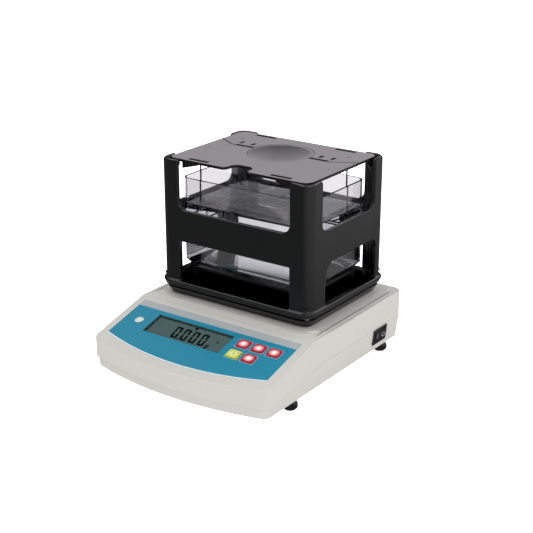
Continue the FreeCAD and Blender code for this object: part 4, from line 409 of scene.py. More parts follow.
def film_finish():
    """Three inks, chosen by the place on the panel, under a fine-grained clear film."""
    material = new_finish("printed_polyester_film", "2C8AA9", 0.35, IOR=1.5, Specular_IOR_Level=0.3)
    tree, shader = insides(material)
    place = add_node(tree, "ShaderNodeTexCoord")
    flat = add_node(tree, "ShaderNodeMapping", {
        "Vector": place.outputs["Object"], "Location": PANEL.translation, "Rotation": (SLOPE, 0, 0)},
        vector_type="TEXTURE")
    split = add_node(tree, "ShaderNodeSeparateXYZ", {"Vector": flat.outputs["Vector"]})
    band = add_node(tree, "ShaderNodeMath", {0: split.outputs["Y"], 1: BAND_LOW_Y * MM},
                    operation="GREATER_THAN")
    radius = (CURVE_HALF ** 2 + CURVE_BOW ** 2) / (2 * CURVE_BOW)
    centre = Vector((0, CURVE_SIDE_Y - CURVE_BOW + radius, 0)) * MM
    level = add_node(tree, "ShaderNodeCombineXYZ", {"X": split.outputs["X"], "Y": split.outputs["Y"]})
    reach = add_node(tree, "ShaderNodeVectorMath", {0: level.outputs["Vector"], 1: centre},
                     operation="DISTANCE")
    line = add_node(tree, "ShaderNodeMath", {0: reach.outputs["Value"], 1: (radius - LINE_WIDE) * MM},
                    operation="GREATER_THAN")
    ink = add_node(tree, "ShaderNodeMix", {
        "Factor": band.outputs[0], "A": linear(PANEL_INK), "B": linear(BAND_INK)}, data_type="RGBA")
    inked = add_node(tree, "ShaderNodeMix", {
        "Factor": line.outputs[0], "A": ink.outputs["Result"], "B": linear(LINE_INK)}, data_type="RGBA")
    tree.links.new(inked.outputs["Result"], shader.inputs["Base Color"])
    grain = add_node(tree, "ShaderNodeTexNoise", {"Vector": place.outputs["Object"], "Scale": 1 / (0.4 * MM)})
    bump = add_node(tree, "ShaderNodeBump", {
        "Height": grain.outputs["Fac"], "Distance": 0.01 * MM, "Strength": 0.25})
    tree.links.new(bump.outputs["Normal"], shader.inputs["Normal"])
    return material


# clear, strong colours with a soft shine, as from ink behind film
film_print = film_finish()
print("film printed")

# %% [markdown]
# ## Metals, rubber and small parts
#
# The load cell and its arm are milled aluminium, the screws stainless steel, the inserts brass.  The pads are
# nitrile rubber.  A metal keeps the default index of refraction.  The milled finish has the cutter's lines
# instead of a grain, as a bumped wave.  Real lines are finer than a pixel, so these are drawn further apart.

# %% Metals and rubber
CUTTER_SCALE = 260.0                                    # lines 1.2 mm apart: a wave is 0.314 over its scale


def milled_finish():
    """Aluminium with the cutter's parallel lines."""
    material = new_finish("milled_aluminium", "C4C6C8", 0.38, Metallic=1.0)
    tree, shader = insides(material)
    place = add_node(tree, "ShaderNodeTexCoord")
    lines = add_node(tree, "ShaderNodeTexWave", {
        "Vector": place.outputs["Object"], "Scale": CUTTER_SCALE, "Distortion": 1.0}, bands_direction="X")
    bump = add_node(tree, "ShaderNodeBump", {
        "Height": lines.outputs["Fac"], "Distance": 0.01 * MM, "Strength": 0.3})
    tree.links.new(bump.outputs["Normal"], shader.inputs["Normal"])
    return material


# bright and slightly blurred, as rolled steel is
steel = new_finish("stainless_steel", "C9C9C7", 0.28, grain=(0.5, 0.005, 0.2), Metallic=1.0)
# greyer than the steel, with streaks along the cutter's way
milled = milled_finish()
# warm yellow, for the inserts and the terminals
brass = new_finish("turned_brass", "C8A75A", 0.3, grain=(0.5, 0.005, 0.2), Metallic=1.0)
# matt and nearly black, with a coarser skin
rubber = new_finish("nitrile_rubber", "161616", 0.75, grain=(0.9, 0.03, 0.5), IOR=1.5)
# deep green under a lacquer's shine
board_green = new_finish("solder_mask_green", "12512C", 0.35, grain=(1.5, 0.02, 0.3), IOR=1.5)
# the basket's wire: thick black paint with a shine along each wire
coated_wire = new_finish("epoxy_coated_wire_black", "0D0D0F", 0.3, grain=(0.8, 0.005, 0.2), IOR=1.55)
# milky white, so that the bubble's ring shows on it
vial_white = new_finish("level_vial_white", "D9E0DE", 0.35, grain=(0.8, 0.01, 0.2), IOR=1.5)
print("metals, rubber and small finishes made")

# %% [markdown]
# ## Pieces and softened edges
#
# CAD edges are perfectly sharp, and nothing moulded is.  Each visible moulding is copied, its loose triangles
# are merged, and a small bevel rounds every edge, which is what catches the light.  Rounding them all in CAD
# would be slow, and the shader's own bevel would leave the outline sharp.  The copy stands for its CAD node
# and rides on the same body.  The big mouldings keep their full bevel where edges come close, and the small
# ones let Blender narrow it.

# %% New pieces
SHARP_FROM, FLAT_WITHIN = math.radians(50), math.radians(0.5)
WELD_WITHIN = 2e-6                                      # metres


def add_piece(name, mesh, body, material):
    """A new object at the origin, in one material, that rides on a body."""
    mesh.name = name
    mesh.materials.clear()
    mesh.materials.append(material)
    piece = bpy.data.objects.new(name, mesh)
    bpy.context.collection.objects.link(piece)
    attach(piece, body)
    return piece


def to_mesh(shape, matrix):
    """A drawing in millimetres as a mesh where it belongs; the object itself stays at the origin."""
    mesh = bpy.data.meshes.new("drawing")
    shape.to_mesh(mesh)
    shape.free()
    mesh.transform(matrix @ Matrix.Scale(MM, 4))
    return mesh


def moulded(node, material, width_mm, segments=2, pierced=False, clamp=True):
    """Copy a CAD node with merged faces and rounded edges; the copy replaces the node.
    A thin plate with many holes keeps its triangles, joined in pairs."""
    mesh = frame["nodes"][node].data.copy()
    shape = bmesh.new()
    shape.from_mesh(mesh)
    bmesh.ops.remove_doubles(shape, verts=shape.verts, dist=WELD_WITHIN)
    if pierced:
        bmesh.ops.join_triangles(shape, faces=shape.faces, angle_face_threshold=FLAT_WITHIN,
                                 angle_shape_threshold=math.pi)
    else:
        bmesh.ops.dissolve_limit(shape, angle_limit=FLAT_WITHIN, verts=shape.verts, edges=shape.edges)
    shape.to_mesh(mesh)
    shape.free()
    mesh.shade_smooth()
    mesh.set_sharp_from_angle(angle=SHARP_FROM)
    piece = add_piece(node + "_moulded", mesh, BODY_OF[node], material)
    bevel = piece.modifiers.new("edge", "BEVEL")
    bevel.width = width_mm * MM
    bevel.segments = segments
    bevel.limit_method = "ANGLE"
    bevel.use_clamp_overlap = clamp
    bevel.angle_limit = SHARP_FROM
    weigh = piece.modifiers.new("flat_faces_stay_flat", "WEIGHTED_NORMAL")
    weigh.keep_sharp = True
    weigh.weight = 90
    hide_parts(node)
    return piece


# %% Moulded copies
UNCLAMPED = "upper_housing", "lower_housing", "measuring_frame", "weighing_tray", "drip_tray"
MOULDINGS = {
    "upper_housing": (housing_abs, 0.5), "lower_housing": (housing_abs, 0.5),
    "measuring_frame": (frame_abs, 1.3), "weighing_tray": (tray_abs, 0.8), "drip_tray": (tray_abs, 0.8),
    "tank_table": (frame_abs, 0.5), "table_front_plate": (plate_abs, 0.4),
    "table_rear_plate": (plate_abs, 0.4), "table_shelves": (frame_abs, 0.4),
    "basket_hangers": (frame_abs, 0.4), "water_tank": (tank_acrylic, 0.4),
    "switch_bezel": (switch_nylon, 0.3), "switch_rocker": (switch_nylon, 0.3),
}
WIDE_BEVEL = 1.0                                        # from here on, a third segment keeps it round
for node, (material, width) in MOULDINGS.items():
    piece = moulded(node, material, width, segments=2 if width < WIDE_BEVEL else 3,
                    pierced=node.endswith("plate"), clamp=node not in UNCLAMPED)
    print(f"{piece.name}: {len(piece.data.polygons)} faces")

# %% [markdown]
# ## Fine ribs round the seat
#
# The top of the housing steps up to the drip tray's seat in fine moulded ribs, which run along the front of
# the seat and turn back along both sides.  Ribs repeat, so Geometry Nodes make them.  The tree rounds the
# corners of a path of three straight lines, copies it once for each rib, moves each copy a little further
# out, and sweeps a flat bar along all of them.  Half of the bar's height lies in the housing.  Drawn one by
# one they would take as many curves, and a change of spacing would mean drawing them all again.

# %% The tree for ribs
RIB_SIZES = {"Spacing": 3.2 * MM, "Side Spacing": 0.9 * MM, "Corner": 6.0 * MM, "Wide": 1.4 * MM,
             "Tall": 0.3 * MM}
RIB_COUNT, CORNER_STEPS = 3, 8


def rib_shift(tree, given):
    """How far each point of a rib moves: out at the sides, forward at the front, times the rib's number."""
    rib = add_node(tree, "GeometryNodeInputNamedAttribute", {"Name": "rib"}, data_type="INT")
    place = add_node(tree, "GeometryNodeInputPosition")
    split = add_node(tree, "ShaderNodeSeparateXYZ", {"Vector": place.outputs[0]})
    side = add_node(tree, "ShaderNodeMath", {0: split.outputs["X"]}, operation="SIGN")
    front = add_node(tree, "ShaderNodeMath", {0: split.outputs["Y"], 1: 0.0}, operation="LESS_THAN")
    outward = add_node(tree, "ShaderNodeMath", {0: side.outputs[0], 1: given.outputs["Side Spacing"]},
                       operation="MULTIPLY")
    forward = add_node(tree, "ShaderNodeMath", {0: front.outputs[0], 1: given.outputs["Spacing"]},
                       operation="MULTIPLY")
    back = add_node(tree, "ShaderNodeMath", {0: forward.outputs[0], 1: -1.0}, operation="MULTIPLY")
    step = add_node(tree, "ShaderNodeCombineXYZ", {"X": outward.outputs[0], "Y": back.outputs[0]})
    return add_node(tree, "ShaderNodeVectorMath", {0: step.outputs[0], "Scale": rib.outputs[0]},
                    operation="SCALE")


def rib_tree():
    """Copies of the path that the object's edges draw, each further out than the last, as flat bars."""
    tree = bpy.data.node_groups.new("seat_ribs", "GeometryNodeTree")
    sockets = {"Geometry": "Geometry", "Ribs": "Int", **dict.fromkeys(RIB_SIZES, "Float"),
               "Material": "Material"}
    for name, kind in sockets.items():
        tree.interface.new_socket(name, in_out="INPUT", socket_type="NodeSocket" + kind)
    tree.interface.new_socket("Geometry", in_out="OUTPUT", socket_type="NodeSocketGeometry")
    given = add_node(tree, "NodeGroupInput")
    path = add_node(tree, "GeometryNodeMeshToCurve", {"Mesh": given.outputs["Geometry"]})
    rounded = add_node(tree, "GeometryNodeFilletCurve", {
        "Curve": path.outputs[0], "Count": CORNER_STEPS, "Radius": given.outputs["Corner"]}, mode="POLY")
    number = add_node(tree, "GeometryNodeInputIndex")
    points = add_node(tree, "GeometryNodePoints", {"Count": given.outputs["Ribs"]})
    numbered = add_node(tree, "GeometryNodeStoreNamedAttribute", {
        "Geometry": points.outputs[0], "Name": "rib", "Value": number.outputs[0]}, data_type="INT")
    copies = add_node(tree, "GeometryNodeInstanceOnPoints", {
        "Points": numbered.outputs[0], "Instance": rounded.outputs[0]})
    curves = add_node(tree, "GeometryNodeRealizeInstances", {"Geometry": copies.outputs[0]})
    spaced = add_node(tree, "GeometryNodeSetPosition", {
        "Geometry": curves.outputs[0], "Offset": rib_shift(tree, given).outputs[0]})
    upright = add_node(tree, "GeometryNodeSetCurveNormal", {"Curve": spaced.outputs[0]}, mode="Z_UP")
    bar = add_node(tree, "GeometryNodeCurvePrimitiveQuadrilateral", {
        "Width": given.outputs["Wide"], "Height": given.outputs["Tall"]})
    swept = add_node(tree, "GeometryNodeCurveToMesh", {
        "Curve": upright.outputs[0], "Profile Curve": bar.outputs[0], "Fill Caps": True})
    whole = add_node(tree, "GeometryNodeRealizeInstances", {"Geometry": swept.outputs[0]})
    done = add_node(tree, "GeometryNodeSetMaterial", {
        "Geometry": whole.outputs[0], "Material": given.outputs["Material"]})
    add_node(tree, "NodeGroupOutput", {"Geometry": done.outputs[0]})
    return tree


seat_ribs = rib_tree()
print(len(seat_ribs.nodes), "nodes in the tree for ribs")

# %% Ribs on the shoulder
SEAT_HALF_X, SEAT_FRONT_Y, SEAT_BACK_Y = 93.1, -27.2, 106.0
SEAT_PATH = [(-SEAT_HALF_X, SEAT_BACK_Y, SHOULDER_Z), (-SEAT_HALF_X, SEAT_FRONT_Y, SHOULDER_Z),
             (SEAT_HALF_X, SEAT_FRONT_Y, SHOULDER_Z), (SEAT_HALF_X, SEAT_BACK_Y, SHOULDER_Z)]
# painted highlight: the housing's plastic made a shade paler, for the light that grazes the ribs
rib_highlight_abs = new_finish("moulded_abs_offwhite_rib", "CFCDC7", 0.5, IOR=1.5)


def plain_mesh(holder):
    """The evaluated object as a plain mesh; the object goes, and its modifier with it."""
    bpy.context.collection.objects.link(holder)
    bpy.context.view_layer.update()
    evaluated = holder.evaluated_get(bpy.context.evaluated_depsgraph_get())
    mesh = bpy.data.meshes.new_from_object(evaluated)
    bpy.data.objects.remove(holder)
    return mesh


def swept_ribs(corners, material):
    """Run the rib tree on a path of straight edges and keep the plain mesh."""
    path = bpy.data.meshes.new("rib_path")
    path.from_pydata([Vector(corner) * MM for corner in corners],
                     [(i, i + 1) for i in range(len(corners) - 1)], [])
    holder = bpy.data.objects.new("rib_path", path)
    modifier = holder.modifiers.new("ribs", "NODES")
    modifier.node_group = seat_ribs
    wanted = {"Ribs": RIB_COUNT, **RIB_SIZES, "Material": material}
    for item in seat_ribs.interface.items_tree:
        if item.in_out == "INPUT" and item.name in wanted:
            modifier[item.identifier] = wanted[item.name]
    return plain_mesh(holder)


rib_mesh = swept_ribs(SEAT_PATH, rib_highlight_abs)
add_piece("shoulder_ribs", rib_mesh, "housing", rib_highlight_abs)
high, low = (pick(vert.co.z for vert in rib_mesh.vertices) / MM for pick in (max, min))
print(f"{RIB_COUNT} ribs, {len(rib_mesh.polygons)} faces, from {low:.2f} to {high:.2f} mm high")

# %% [markdown]
# ## Parts that keep their CAD shape
#
# Small and hidden parts are right as they are.  They only get their finishes: a CAD node's material slot
# takes another material, and nothing is copied.

# %% Finishes for carried-over nodes
# the grey green of a display without a lamp, and no shine that could hide the figures on it
lcd_grey = new_finish("lcd_polariser_grey", "70797C", 0.45, grain=(1.2, 0.005, 0.15), IOR=1.5,
                      Specular_IOR_Level=0.0)
KEPT = {
    film_print: ["panel_overlay"], lens_acrylic: ["display_window"], lcd_grey: ["display_module"],
    vial_white: ["level_vial"], vial_glass: ["level_glass"], board_green: ["keypad_board", "main_board"],
    switch_nylon: ["key_switches", "power_jack", "foot_front_left", "foot_front_right", "foot_rear_left",
                   "foot_rear_right"],
    steel: ["board_screws", "serial_port", "port_nuts", "case_screws", "base_screws", "load_cell_screws",
            "overload_stop", "drip_screws", "arm_screws", "frame_screws"],
    brass: ["switch_terminals", "foot_inserts"], milled: ["load_cell_base", "load_cell", "weighing_arm"],
    rubber: ["tank_pads", "tray_cushions"], coated_wire: ["sample_basket"],
}
for material, nodes in KEPT.items():
    for node in nodes:
        for slot in frame["nodes"][node].material_slots:
            slot.material = material
    print(f"{material.name}: {', '.join(nodes)}")

# %% [markdown]
# ## Keys
#
# Each key is a glossy cap printed with a pale rim, and its bright, softly glowing middle is a painted
# highlight.  The print is a fine grid laid just over the cap, whose vertices carry two numbers: how near they
# are to the middle and how near to the edge.  The material turns these into ink and painted highlight.
# Numbers on vertices ride along when a key is pressed, and need no unwrapping.

# %% Key finishes
def print_and_highlight_finish(name, ground, glow, rim):
    """Ink for the rim and a painted highlight for the middle, following the attributes "glow" and "rim" of
    the grid.
    """
    material = new_finish(name, ground, 0.22, IOR=1.5)
    tree, shader = insides(material)
    middle = add_node(tree, "ShaderNodeAttribute", attribute_name="glow")
    edge = add_node(tree, "ShaderNodeAttribute", attribute_name="rim")
    lit = add_node(tree, "ShaderNodeMix", {
        "Factor": middle.outputs["Fac"], "A": linear(ground), "B": linear(glow)}, data_type="RGBA")
    done = add_node(tree, "ShaderNodeMix", {
        "Factor": edge.outputs["Fac"], "A": lit.outputs["Result"], "B": linear(rim)}, data_type="RGBA")
    tree.links.new(done.outputs["Result"], shader.inputs["Base Color"])
    return material


# caps: glossy and strongly coloured, with a small sharp highlight along the upper edge
key_red = new_finish("keycap_red", "B5122A", 0.22, grain=(1.0, 0.005, 0.15), IOR=1.5)
key_green = new_finish("keycap_yellow_green", "B4C42A", 0.22, grain=(1.0, 0.005, 0.15), IOR=1.5)
# print and painted highlight: the cap's colour, paling smoothly to a painted highlight in the middle, inside
# a thin printed rim
red_print_and_highlight = print_and_highlight_finish("key_print_red", "BE1A2E", "FBE9E7", "8E0E22")
green_print_and_highlight = print_and_highlight_finish("key_print_green", "BFC63A", "EFEBC0", "E6E79C")
# marks on the keys and the rocker: opaque ink with a dull shine
white_ink = new_finish("white_screen_ink", "FBFBFB", 0.35, IOR=1.5)
dark_ink = new_finish("dark_screen_ink", "7A7F3A", 0.35, IOR=1.5)
grey_ink = new_finish("grey_pad_print", "A8A8AC", 0.4, IOR=1.5)
# outlines on the film: a pale line that parts each key from the blue
red_outline = new_finish("pale_pink_screen_ink", "C7A3B2", 0.35, IOR=1.5)
green_outline = new_finish("pale_green_screen_ink", "B9CF7A", 0.35, IOR=1.5)
print("key finishes made")

# %% The printed grid
KEY_WIDE, KEY_TALL, KEY_ROUND, KEY_RISE, KEY_EDGE = 12.5, 10.5, 1.6, 0.9, 0.15
KEY_FIRST, KEY_PITCH = (42, 45.6), (16.75, 15.8)
PRINT_INSET, PRINT_LIFT, PRINT_STEPS = 0.55, 0.03, (36, 30)
HIGHLIGHT, HIGHLIGHT_SPREAD, HIGHLIGHT_POWER = 0.9, 0.95, 1.5          # the painted highlight's strength, its share of the cap, its fall-off
RIM_WIDE, RIM_TONE = 0.5, 0.75


def key_centre(column, line):
    """Millimetres across and up the panel, for a key's column and its line from the top."""
    return KEY_FIRST[0] + column * KEY_PITCH[0], KEY_FIRST[1] - line * KEY_PITCH[1]


def rounded(u, v, wide, tall):
    """A point of the square from -1 to 1, moved onto a rectangle with rounded corners."""
    corner = max(abs(u) * wide - (wide - KEY_ROUND), 0), max(abs(v) * tall - (tall - KEY_ROUND), 0)
    pull = KEY_ROUND / max(math.hypot(*corner), KEY_ROUND)
    return (math.copysign(min(abs(u) * wide, wide - KEY_ROUND) + corner[0] * pull, u),
            math.copysign(min(abs(v) * tall, tall - KEY_ROUND) + corner[1] * pull, v))


def key_print(column, line):
    """A fine grid over a cap, with the numbers for its painted highlight and its printed rim on every vertex.
    """
    across, up = key_centre(column, line)
    wide, tall = KEY_WIDE / 2 - PRINT_INSET, KEY_TALL / 2 - PRINT_INSET
    cols, rows = PRINT_STEPS
    shape = bmesh.new()
    glow = shape.verts.layers.float.new("glow")
    rim = shape.verts.layers.float.new("rim")
    grid = []
    for row in range(rows + 1):
        for col in range(cols + 1):
            u, v = col / cols * 2 - 1, row / rows * 2 - 1
            x, y = rounded(u, v, wide, tall)
            vert = shape.verts.new((across + x, up + y, KEY_RISE + PRINT_LIFT))
            away = math.hypot(x / (wide * HIGHLIGHT_SPREAD), y / (tall * HIGHLIGHT_SPREAD))
            vert[glow] = max(0.0, 1 - away ** HIGHLIGHT_POWER) * HIGHLIGHT
            depth = min(wide - abs(u) * wide, tall - abs(v) * tall)
            vert[rim] = RIM_TONE if depth < RIM_WIDE else 0.0
            grid.append(vert)
    for row in range(rows):
        for col in range(cols):
            low = row * (cols + 1) + col
            high = low + cols + 1
            shape.faces.new((grid[low], grid[low + 1], grid[high + 1], grid[high]))
    return to_mesh(shape, PANEL)


print(f"keys {KEY_WIDE} by {KEY_TALL} mm")

# %% [markdown]
# ## Marks and outlines
#
# Each cap carries one mark, and the line round each key is printed on the film.  Text could stay text, but a
# finished piece keeps its object at the origin, so it is turned into a mesh and placed in that.  The line is
# drawn as a closed strip between two rounded rectangles.

# %% Lettering and outlines
MARK_SIZE, MARK_LIFT, MARK_BOLD = 5.6, 0.05, 0.12
OUTLINE_NEAR, OUTLINE_FAR, OUTLINE_LIFT = 0.55, 0.95, 0.02
QUARTERS = (1, 1), (-1, 1), (-1, -1), (1, -1)           # the signs of the corners, counter-clockwise


def lettering(words, size_mm, matrix, bold, thick_mm=0.02):
    """Flat text as a mesh, centred on the matrix's origin."""
    curve = bpy.data.curves.new("lettering", "FONT")
    curve.body = words
    curve.size = size_mm
    curve.align_x = "CENTER"
    curve.align_y = "CENTER"
    curve.extrude = thick_mm
    curve.offset = bold
    mesh = plain_mesh(bpy.data.objects.new("lettering", curve))
    bpy.data.curves.remove(curve)
    mesh.transform(matrix @ Matrix.Scale(MM, 4))
    return mesh


def rounded_loop(half_x, half_y, radius, steps):
    """Points round a rectangle with rounded corners, about its middle."""
    for quarter, (side_x, side_y) in enumerate(QUARTERS):
        for i in range(steps + 1):
            angle = math.pi / 2 * (quarter + i / steps)
            yield (side_x * (half_x - radius) + radius * math.cos(angle),
                   side_y * (half_y - radius) + radius * math.sin(angle))


def key_outline(column, line):
    """Rounded line printed on the film round a key, as a flat closed strip."""
    across, up = key_centre(column, line)
    shape = bmesh.new()
    near, far = ([shape.verts.new((across + x, up + y, OUTLINE_LIFT))
                  for x, y in rounded_loop(KEY_WIDE / 2 + reach, KEY_TALL / 2 + reach, KEY_ROUND, steps=6)]
                 for reach in (OUTLINE_NEAR, OUTLINE_FAR))
    for i in range(len(near)):
        j = (i + 1) % len(near)
        shape.faces.new((near[i], far[i], far[j], near[j]))
    return to_mesh(shape, PANEL)


print(len(QUARTERS), "corners to a line")

# %% Dress the keys
KEYS = {"key_top_left": (0, 0, "0"), "key_top_middle": (1, 0, "A"), "key_top_right": (2, 0, "B"),
        "key_bottom_left": (0, 1, "="), "key_bottom_middle": (1, 1, "M")}
RED_SET = key_red, red_print_and_highlight, white_ink, red_outline
GREEN_SET = key_green, green_print_and_highlight, dark_ink, green_outline
for node, (column, line, mark) in KEYS.items():
    cap, face, ink, outline = GREEN_SET if node == "key_bottom_left" else RED_SET
    add_piece(node + "_outline", key_outline(column, line), "housing", outline)
    moulded(node, cap, KEY_EDGE)
    add_piece(node + "_print", key_print(column, line), BODY_OF[node], face)
    middle = at(PANEL, *key_centre(column, line), KEY_RISE + MARK_LIFT)
    add_piece(node + "_mark", lettering(mark, MARK_SIZE, middle, MARK_BOLD), BODY_OF[node], ink)
print(len(KEYS), "keys dressed")

# %% [markdown]
# ## The display
#
# A liquid-crystal display shows dark bars over a grey-green polariser.  A full figure has seven bars, and the
# nought that stands in all four places lights the six outer ones.  One function draws a bar upright from the
# figure's lower left corner, and the whole figure then leans a little.  Text in a digital font would need a
# font file.  Dark strips just inside the window's edges are a painted shadow of the window's recess.

# %% Flat shapes
def flat_shapes(outlines, matrix, thick_mm=0.05):
    """Thin flat pieces from outlines in millimetres."""
    shape = bmesh.new()
    for outline in outlines:
        face = shape.faces.new([shape.verts.new((x, y, 0)) for x, y in outline])
        face.normal_update()
        if face.normal.z < 0:
            face.normal_flip()
        raised = bmesh.ops.extrude_face_region(shape, geom=[face])
        bmesh.ops.translate(shape, vec=(0, 0, thick_mm),
                            verts=[v for v in raised["geom"] if isinstance(v, bmesh.types.BMVert)])
    bmesh.ops.recalc_face_normals(shape, faces=shape.faces)
    return to_mesh(shape, matrix)


def circle(across, up, radius, steps):
    """Points round a circle, counter-clockwise from its right."""
    angles = [2 * math.pi * i / steps for i in range(steps)]
    return [(across + radius * math.cos(angle), up + radius * math.sin(angle)) for angle in angles]


def rectangle(left, low, right, high):
    """Corners of an upright rectangle, counter-clockwise."""
    return [(left, low), (right, low), (right, high), (left, high)]


print("drawing helpers ready")

# %% Seven-segment figures
NOUGHT = "top", "right_high", "right_low", "bottom", "left_low", "left_high"
FIGURE_HIGH, FIGURE_WIDE, BAR, BAR_GAP, LEAN = 16.3, 6.8, 2.1, 0.08, -0.13
FIGURE_X, FIGURE_Y, FIGURE_PITCH, FIGURES = -32.3, 30.3, 10.3, 4
POINT_LEFT, POINT_DOWN, POINT_SIZE = 2.7, 0.3, 1.5      # from the second figure's corner
SIGNS = (-15.3, 50.2, 1.7), (15.8, 41, 1.2)             # round signs that show the state: place and radius
DISPLAY_Z = -2.49                                       # on the polariser, under the film


def bar_outline(which):
    """Corners of one bar of a figure; both its ends are mitred."""
    if which in ("top", "bottom"):
        y, inward = (FIGURE_HIGH, -BAR) if which == "top" else (0, BAR)
        return [(BAR_GAP, y), (FIGURE_WIDE - BAR_GAP, y), (FIGURE_WIDE - BAR - BAR_GAP, y + inward),
                (BAR + BAR_GAP, y + inward)]
    upper = which.endswith("high")
    low, top = (FIGURE_HIGH / 2, FIGURE_HIGH) if upper else (0, FIGURE_HIGH / 2)
    x, inward = (0, BAR) if which.startswith("left") else (FIGURE_WIDE, -BAR)
    near = low + BAR_GAP + (BAR / 2 if upper else BAR)
    far = top - BAR_GAP - (BAR if upper else BAR / 2)
    return [(x, low + BAR_GAP), (x + inward, near), (x + inward, far), (x, top - BAR_GAP)]


def leaning(outline, across, up):
    """An outline moved to its place, each point pushed aside in step with its height."""
    return [(across + x + y * LEAN, up + y) for x, y in outline]


lit = [leaning(bar_outline(bar), FIGURE_X + number * FIGURE_PITCH, FIGURE_Y)
       for number in range(FIGURES) for bar in NOUGHT]
lit.append(leaning(rectangle(0, 0, POINT_SIZE, POINT_SIZE), FIGURE_X + FIGURE_PITCH - POINT_LEFT,
                   FIGURE_Y - POINT_DOWN))
lit += [circle(*sign, steps=24) for sign in SIGNS]
# a lit bar is the deepest black on the panel, and has no shine
lcd_ink = new_finish("lcd_segment_dark", "020203", 0.7, IOR=1.5, Specular_IOR_Level=0.0)
LCD_FACE = at(PANEL, 0, 0, DISPLAY_Z)
add_piece("lcd_figures", flat_shapes(lit, LCD_FACE), "housing", lcd_ink)
print(len(lit), "bars and signs lit")

# %% The painted recess shadow and the unit
WINDOW_LEFT, WINDOW_RIGHT, WINDOW_LOW, WINDOW_HIGH = -60.8, 27.2, 25.5, 52.5
# the painted recess shadow: each strip's width, its thickness, and its gap from the window's edge
SHADOW_STRIP_WIDE, SHADOW_STRIP_TALL, SHADOW_STRIP_CLEAR = 0.5, 1.1, 0.05
UNIT_AFTER, UNIT_UP, UNIT_Z, UNIT_SIZE, UNIT_BOLD = 0.4, 2.8, -2.45, 9.0, 0.14


def recess_shadow_strips():
    """Four dark strips just inside the window's edges, a painted shadow of its recess."""
    left, right = WINDOW_LEFT + SHADOW_STRIP_CLEAR, WINDOW_RIGHT - SHADOW_STRIP_CLEAR
    low, high = WINDOW_LOW + SHADOW_STRIP_CLEAR, WINDOW_HIGH - SHADOW_STRIP_CLEAR
    inner_low, inner_high = low + SHADOW_STRIP_WIDE, high - SHADOW_STRIP_WIDE
    return [rectangle(left, low, right, inner_low), rectangle(left, inner_high, right, high),
            rectangle(left, inner_low, left + SHADOW_STRIP_WIDE, inner_high),
            rectangle(right - SHADOW_STRIP_WIDE, inner_low, right, inner_high)]


# painted shadow: dull dark strips that frame the window with a fine shadow line, where its recess shades it
recess_shadow_dark = new_finish("painted_recess_shadow", "23292B", 0.9, IOR=1.5)
add_piece("lcd_recess_shadow", flat_shapes(recess_shadow_strips(), LCD_FACE, SHADOW_STRIP_TALL), "housing", recess_shadow_dark)
unit_place = at(PANEL, FIGURE_X + FIGURES * FIGURE_PITCH + UNIT_AFTER, FIGURE_Y + UNIT_UP, UNIT_Z)
add_piece("lcd_unit", lettering("g", UNIT_SIZE, unit_place, UNIT_BOLD), "housing", lcd_ink)
# the size of the window that the painted shadow frames
print(f"seal {WINDOW_RIGHT - WINDOW_LEFT:.0f} by {WINDOW_HIGH - WINDOW_LOW:.0f} mm")

# %% [markdown]
# ## The bubble level
#
# A circular level is a small white cup of spirit under glass, with a ring to centre the bubble in.  At this
# size the spirit, the ring and the bubble read as flat discs and a washer, so one function makes all three.

# %% Spirit, ring and bubble
LEVEL_X, LEVEL_Y = -74.5, 37.7
SPIRIT_Z, SPIRIT_RADIUS, SPIRIT_TALL = -1.6, 3.4, 0.9
RING_Z, RING_RADIUS, RING_HOLE, INK_TALL = -0.68, 1.9, 1.7, 0.05
BUBBLE_AT, BUBBLE_RADIUS, BUBBLE_TALL = (0.2, 0.3), 1.3, 0.08


def disc(matrix, radius_mm, thick_mm, hole_mm=0.0, steps=48):
    """Flat disc or washer standing up from the matrix's plane."""
    shape = bmesh.new()
    outline = [(radius_mm, 0), (radius_mm, thick_mm)]
    if hole_mm:
        outline += [(hole_mm, thick_mm), (hole_mm, 0)]
    loops = [[shape.verts.new((x, y, height)) for x, y in circle(0, 0, radius, steps)]
             for radius, height in outline]
    closing = [(loops[-1], loops[0])] if hole_mm else []
    for lower, upper in [*zip(loops, loops[1:]), *closing]:
        for i in range(steps):
            j = (i + 1) % steps
            shape.faces.new((lower[i], lower[j], upper[j], upper[i]))
    if not hole_mm:
        shape.faces.new(list(reversed(loops[0])))
        shape.faces.new(loops[1])
    bmesh.ops.recalc_face_normals(shape, faces=shape.faces)
    return to_mesh(shape, matrix)


# a pale liquid that looks milky over the white cup
spirit = new_finish("level_spirit", "D6E0DD", 0.3, IOR=1.36)
SPIRIT_PLACE, RING_PLACE = at(PANEL, LEVEL_X, LEVEL_Y, SPIRIT_Z), at(PANEL, LEVEL_X, LEVEL_Y, RING_Z)
add_piece("level_spirit", disc(SPIRIT_PLACE, SPIRIT_RADIUS, SPIRIT_TALL), "housing", spirit)
add_piece("level_ring", disc(RING_PLACE, RING_RADIUS, INK_TALL, RING_HOLE), "housing", lcd_ink)
bubble = disc(at(RING_PLACE, *BUBBLE_AT), BUBBLE_RADIUS, BUBBLE_TALL)
add_piece("level_bubble", bubble, "housing", vial_white)
print("level filled")

# %% [markdown]
# ## The rocker's marks
#
# The two halves of the rocker carry the bar and the ring that stand for on and off everywhere.  Each half
# rises away from the pivot, and the rocker rests tilted to one side, so the marks are laid on a matrix that
# follows both turns.  They could be painted by place on the rocker, but a thin pad of ink also has an edge.

# %% On and off
ROCKER_HALF_LONG, ROCKER_TILT, PIVOT_OUT, ROCKER_OUT = 8.8, math.radians(7), -0.5, 1.4
MARK_OUT, BAR_HALF_X, BAR_HALF_Y, LOOP_RADIUS, LOOP_HOLE = 0.01, 0.35, 2.6, 2.3, 1.7


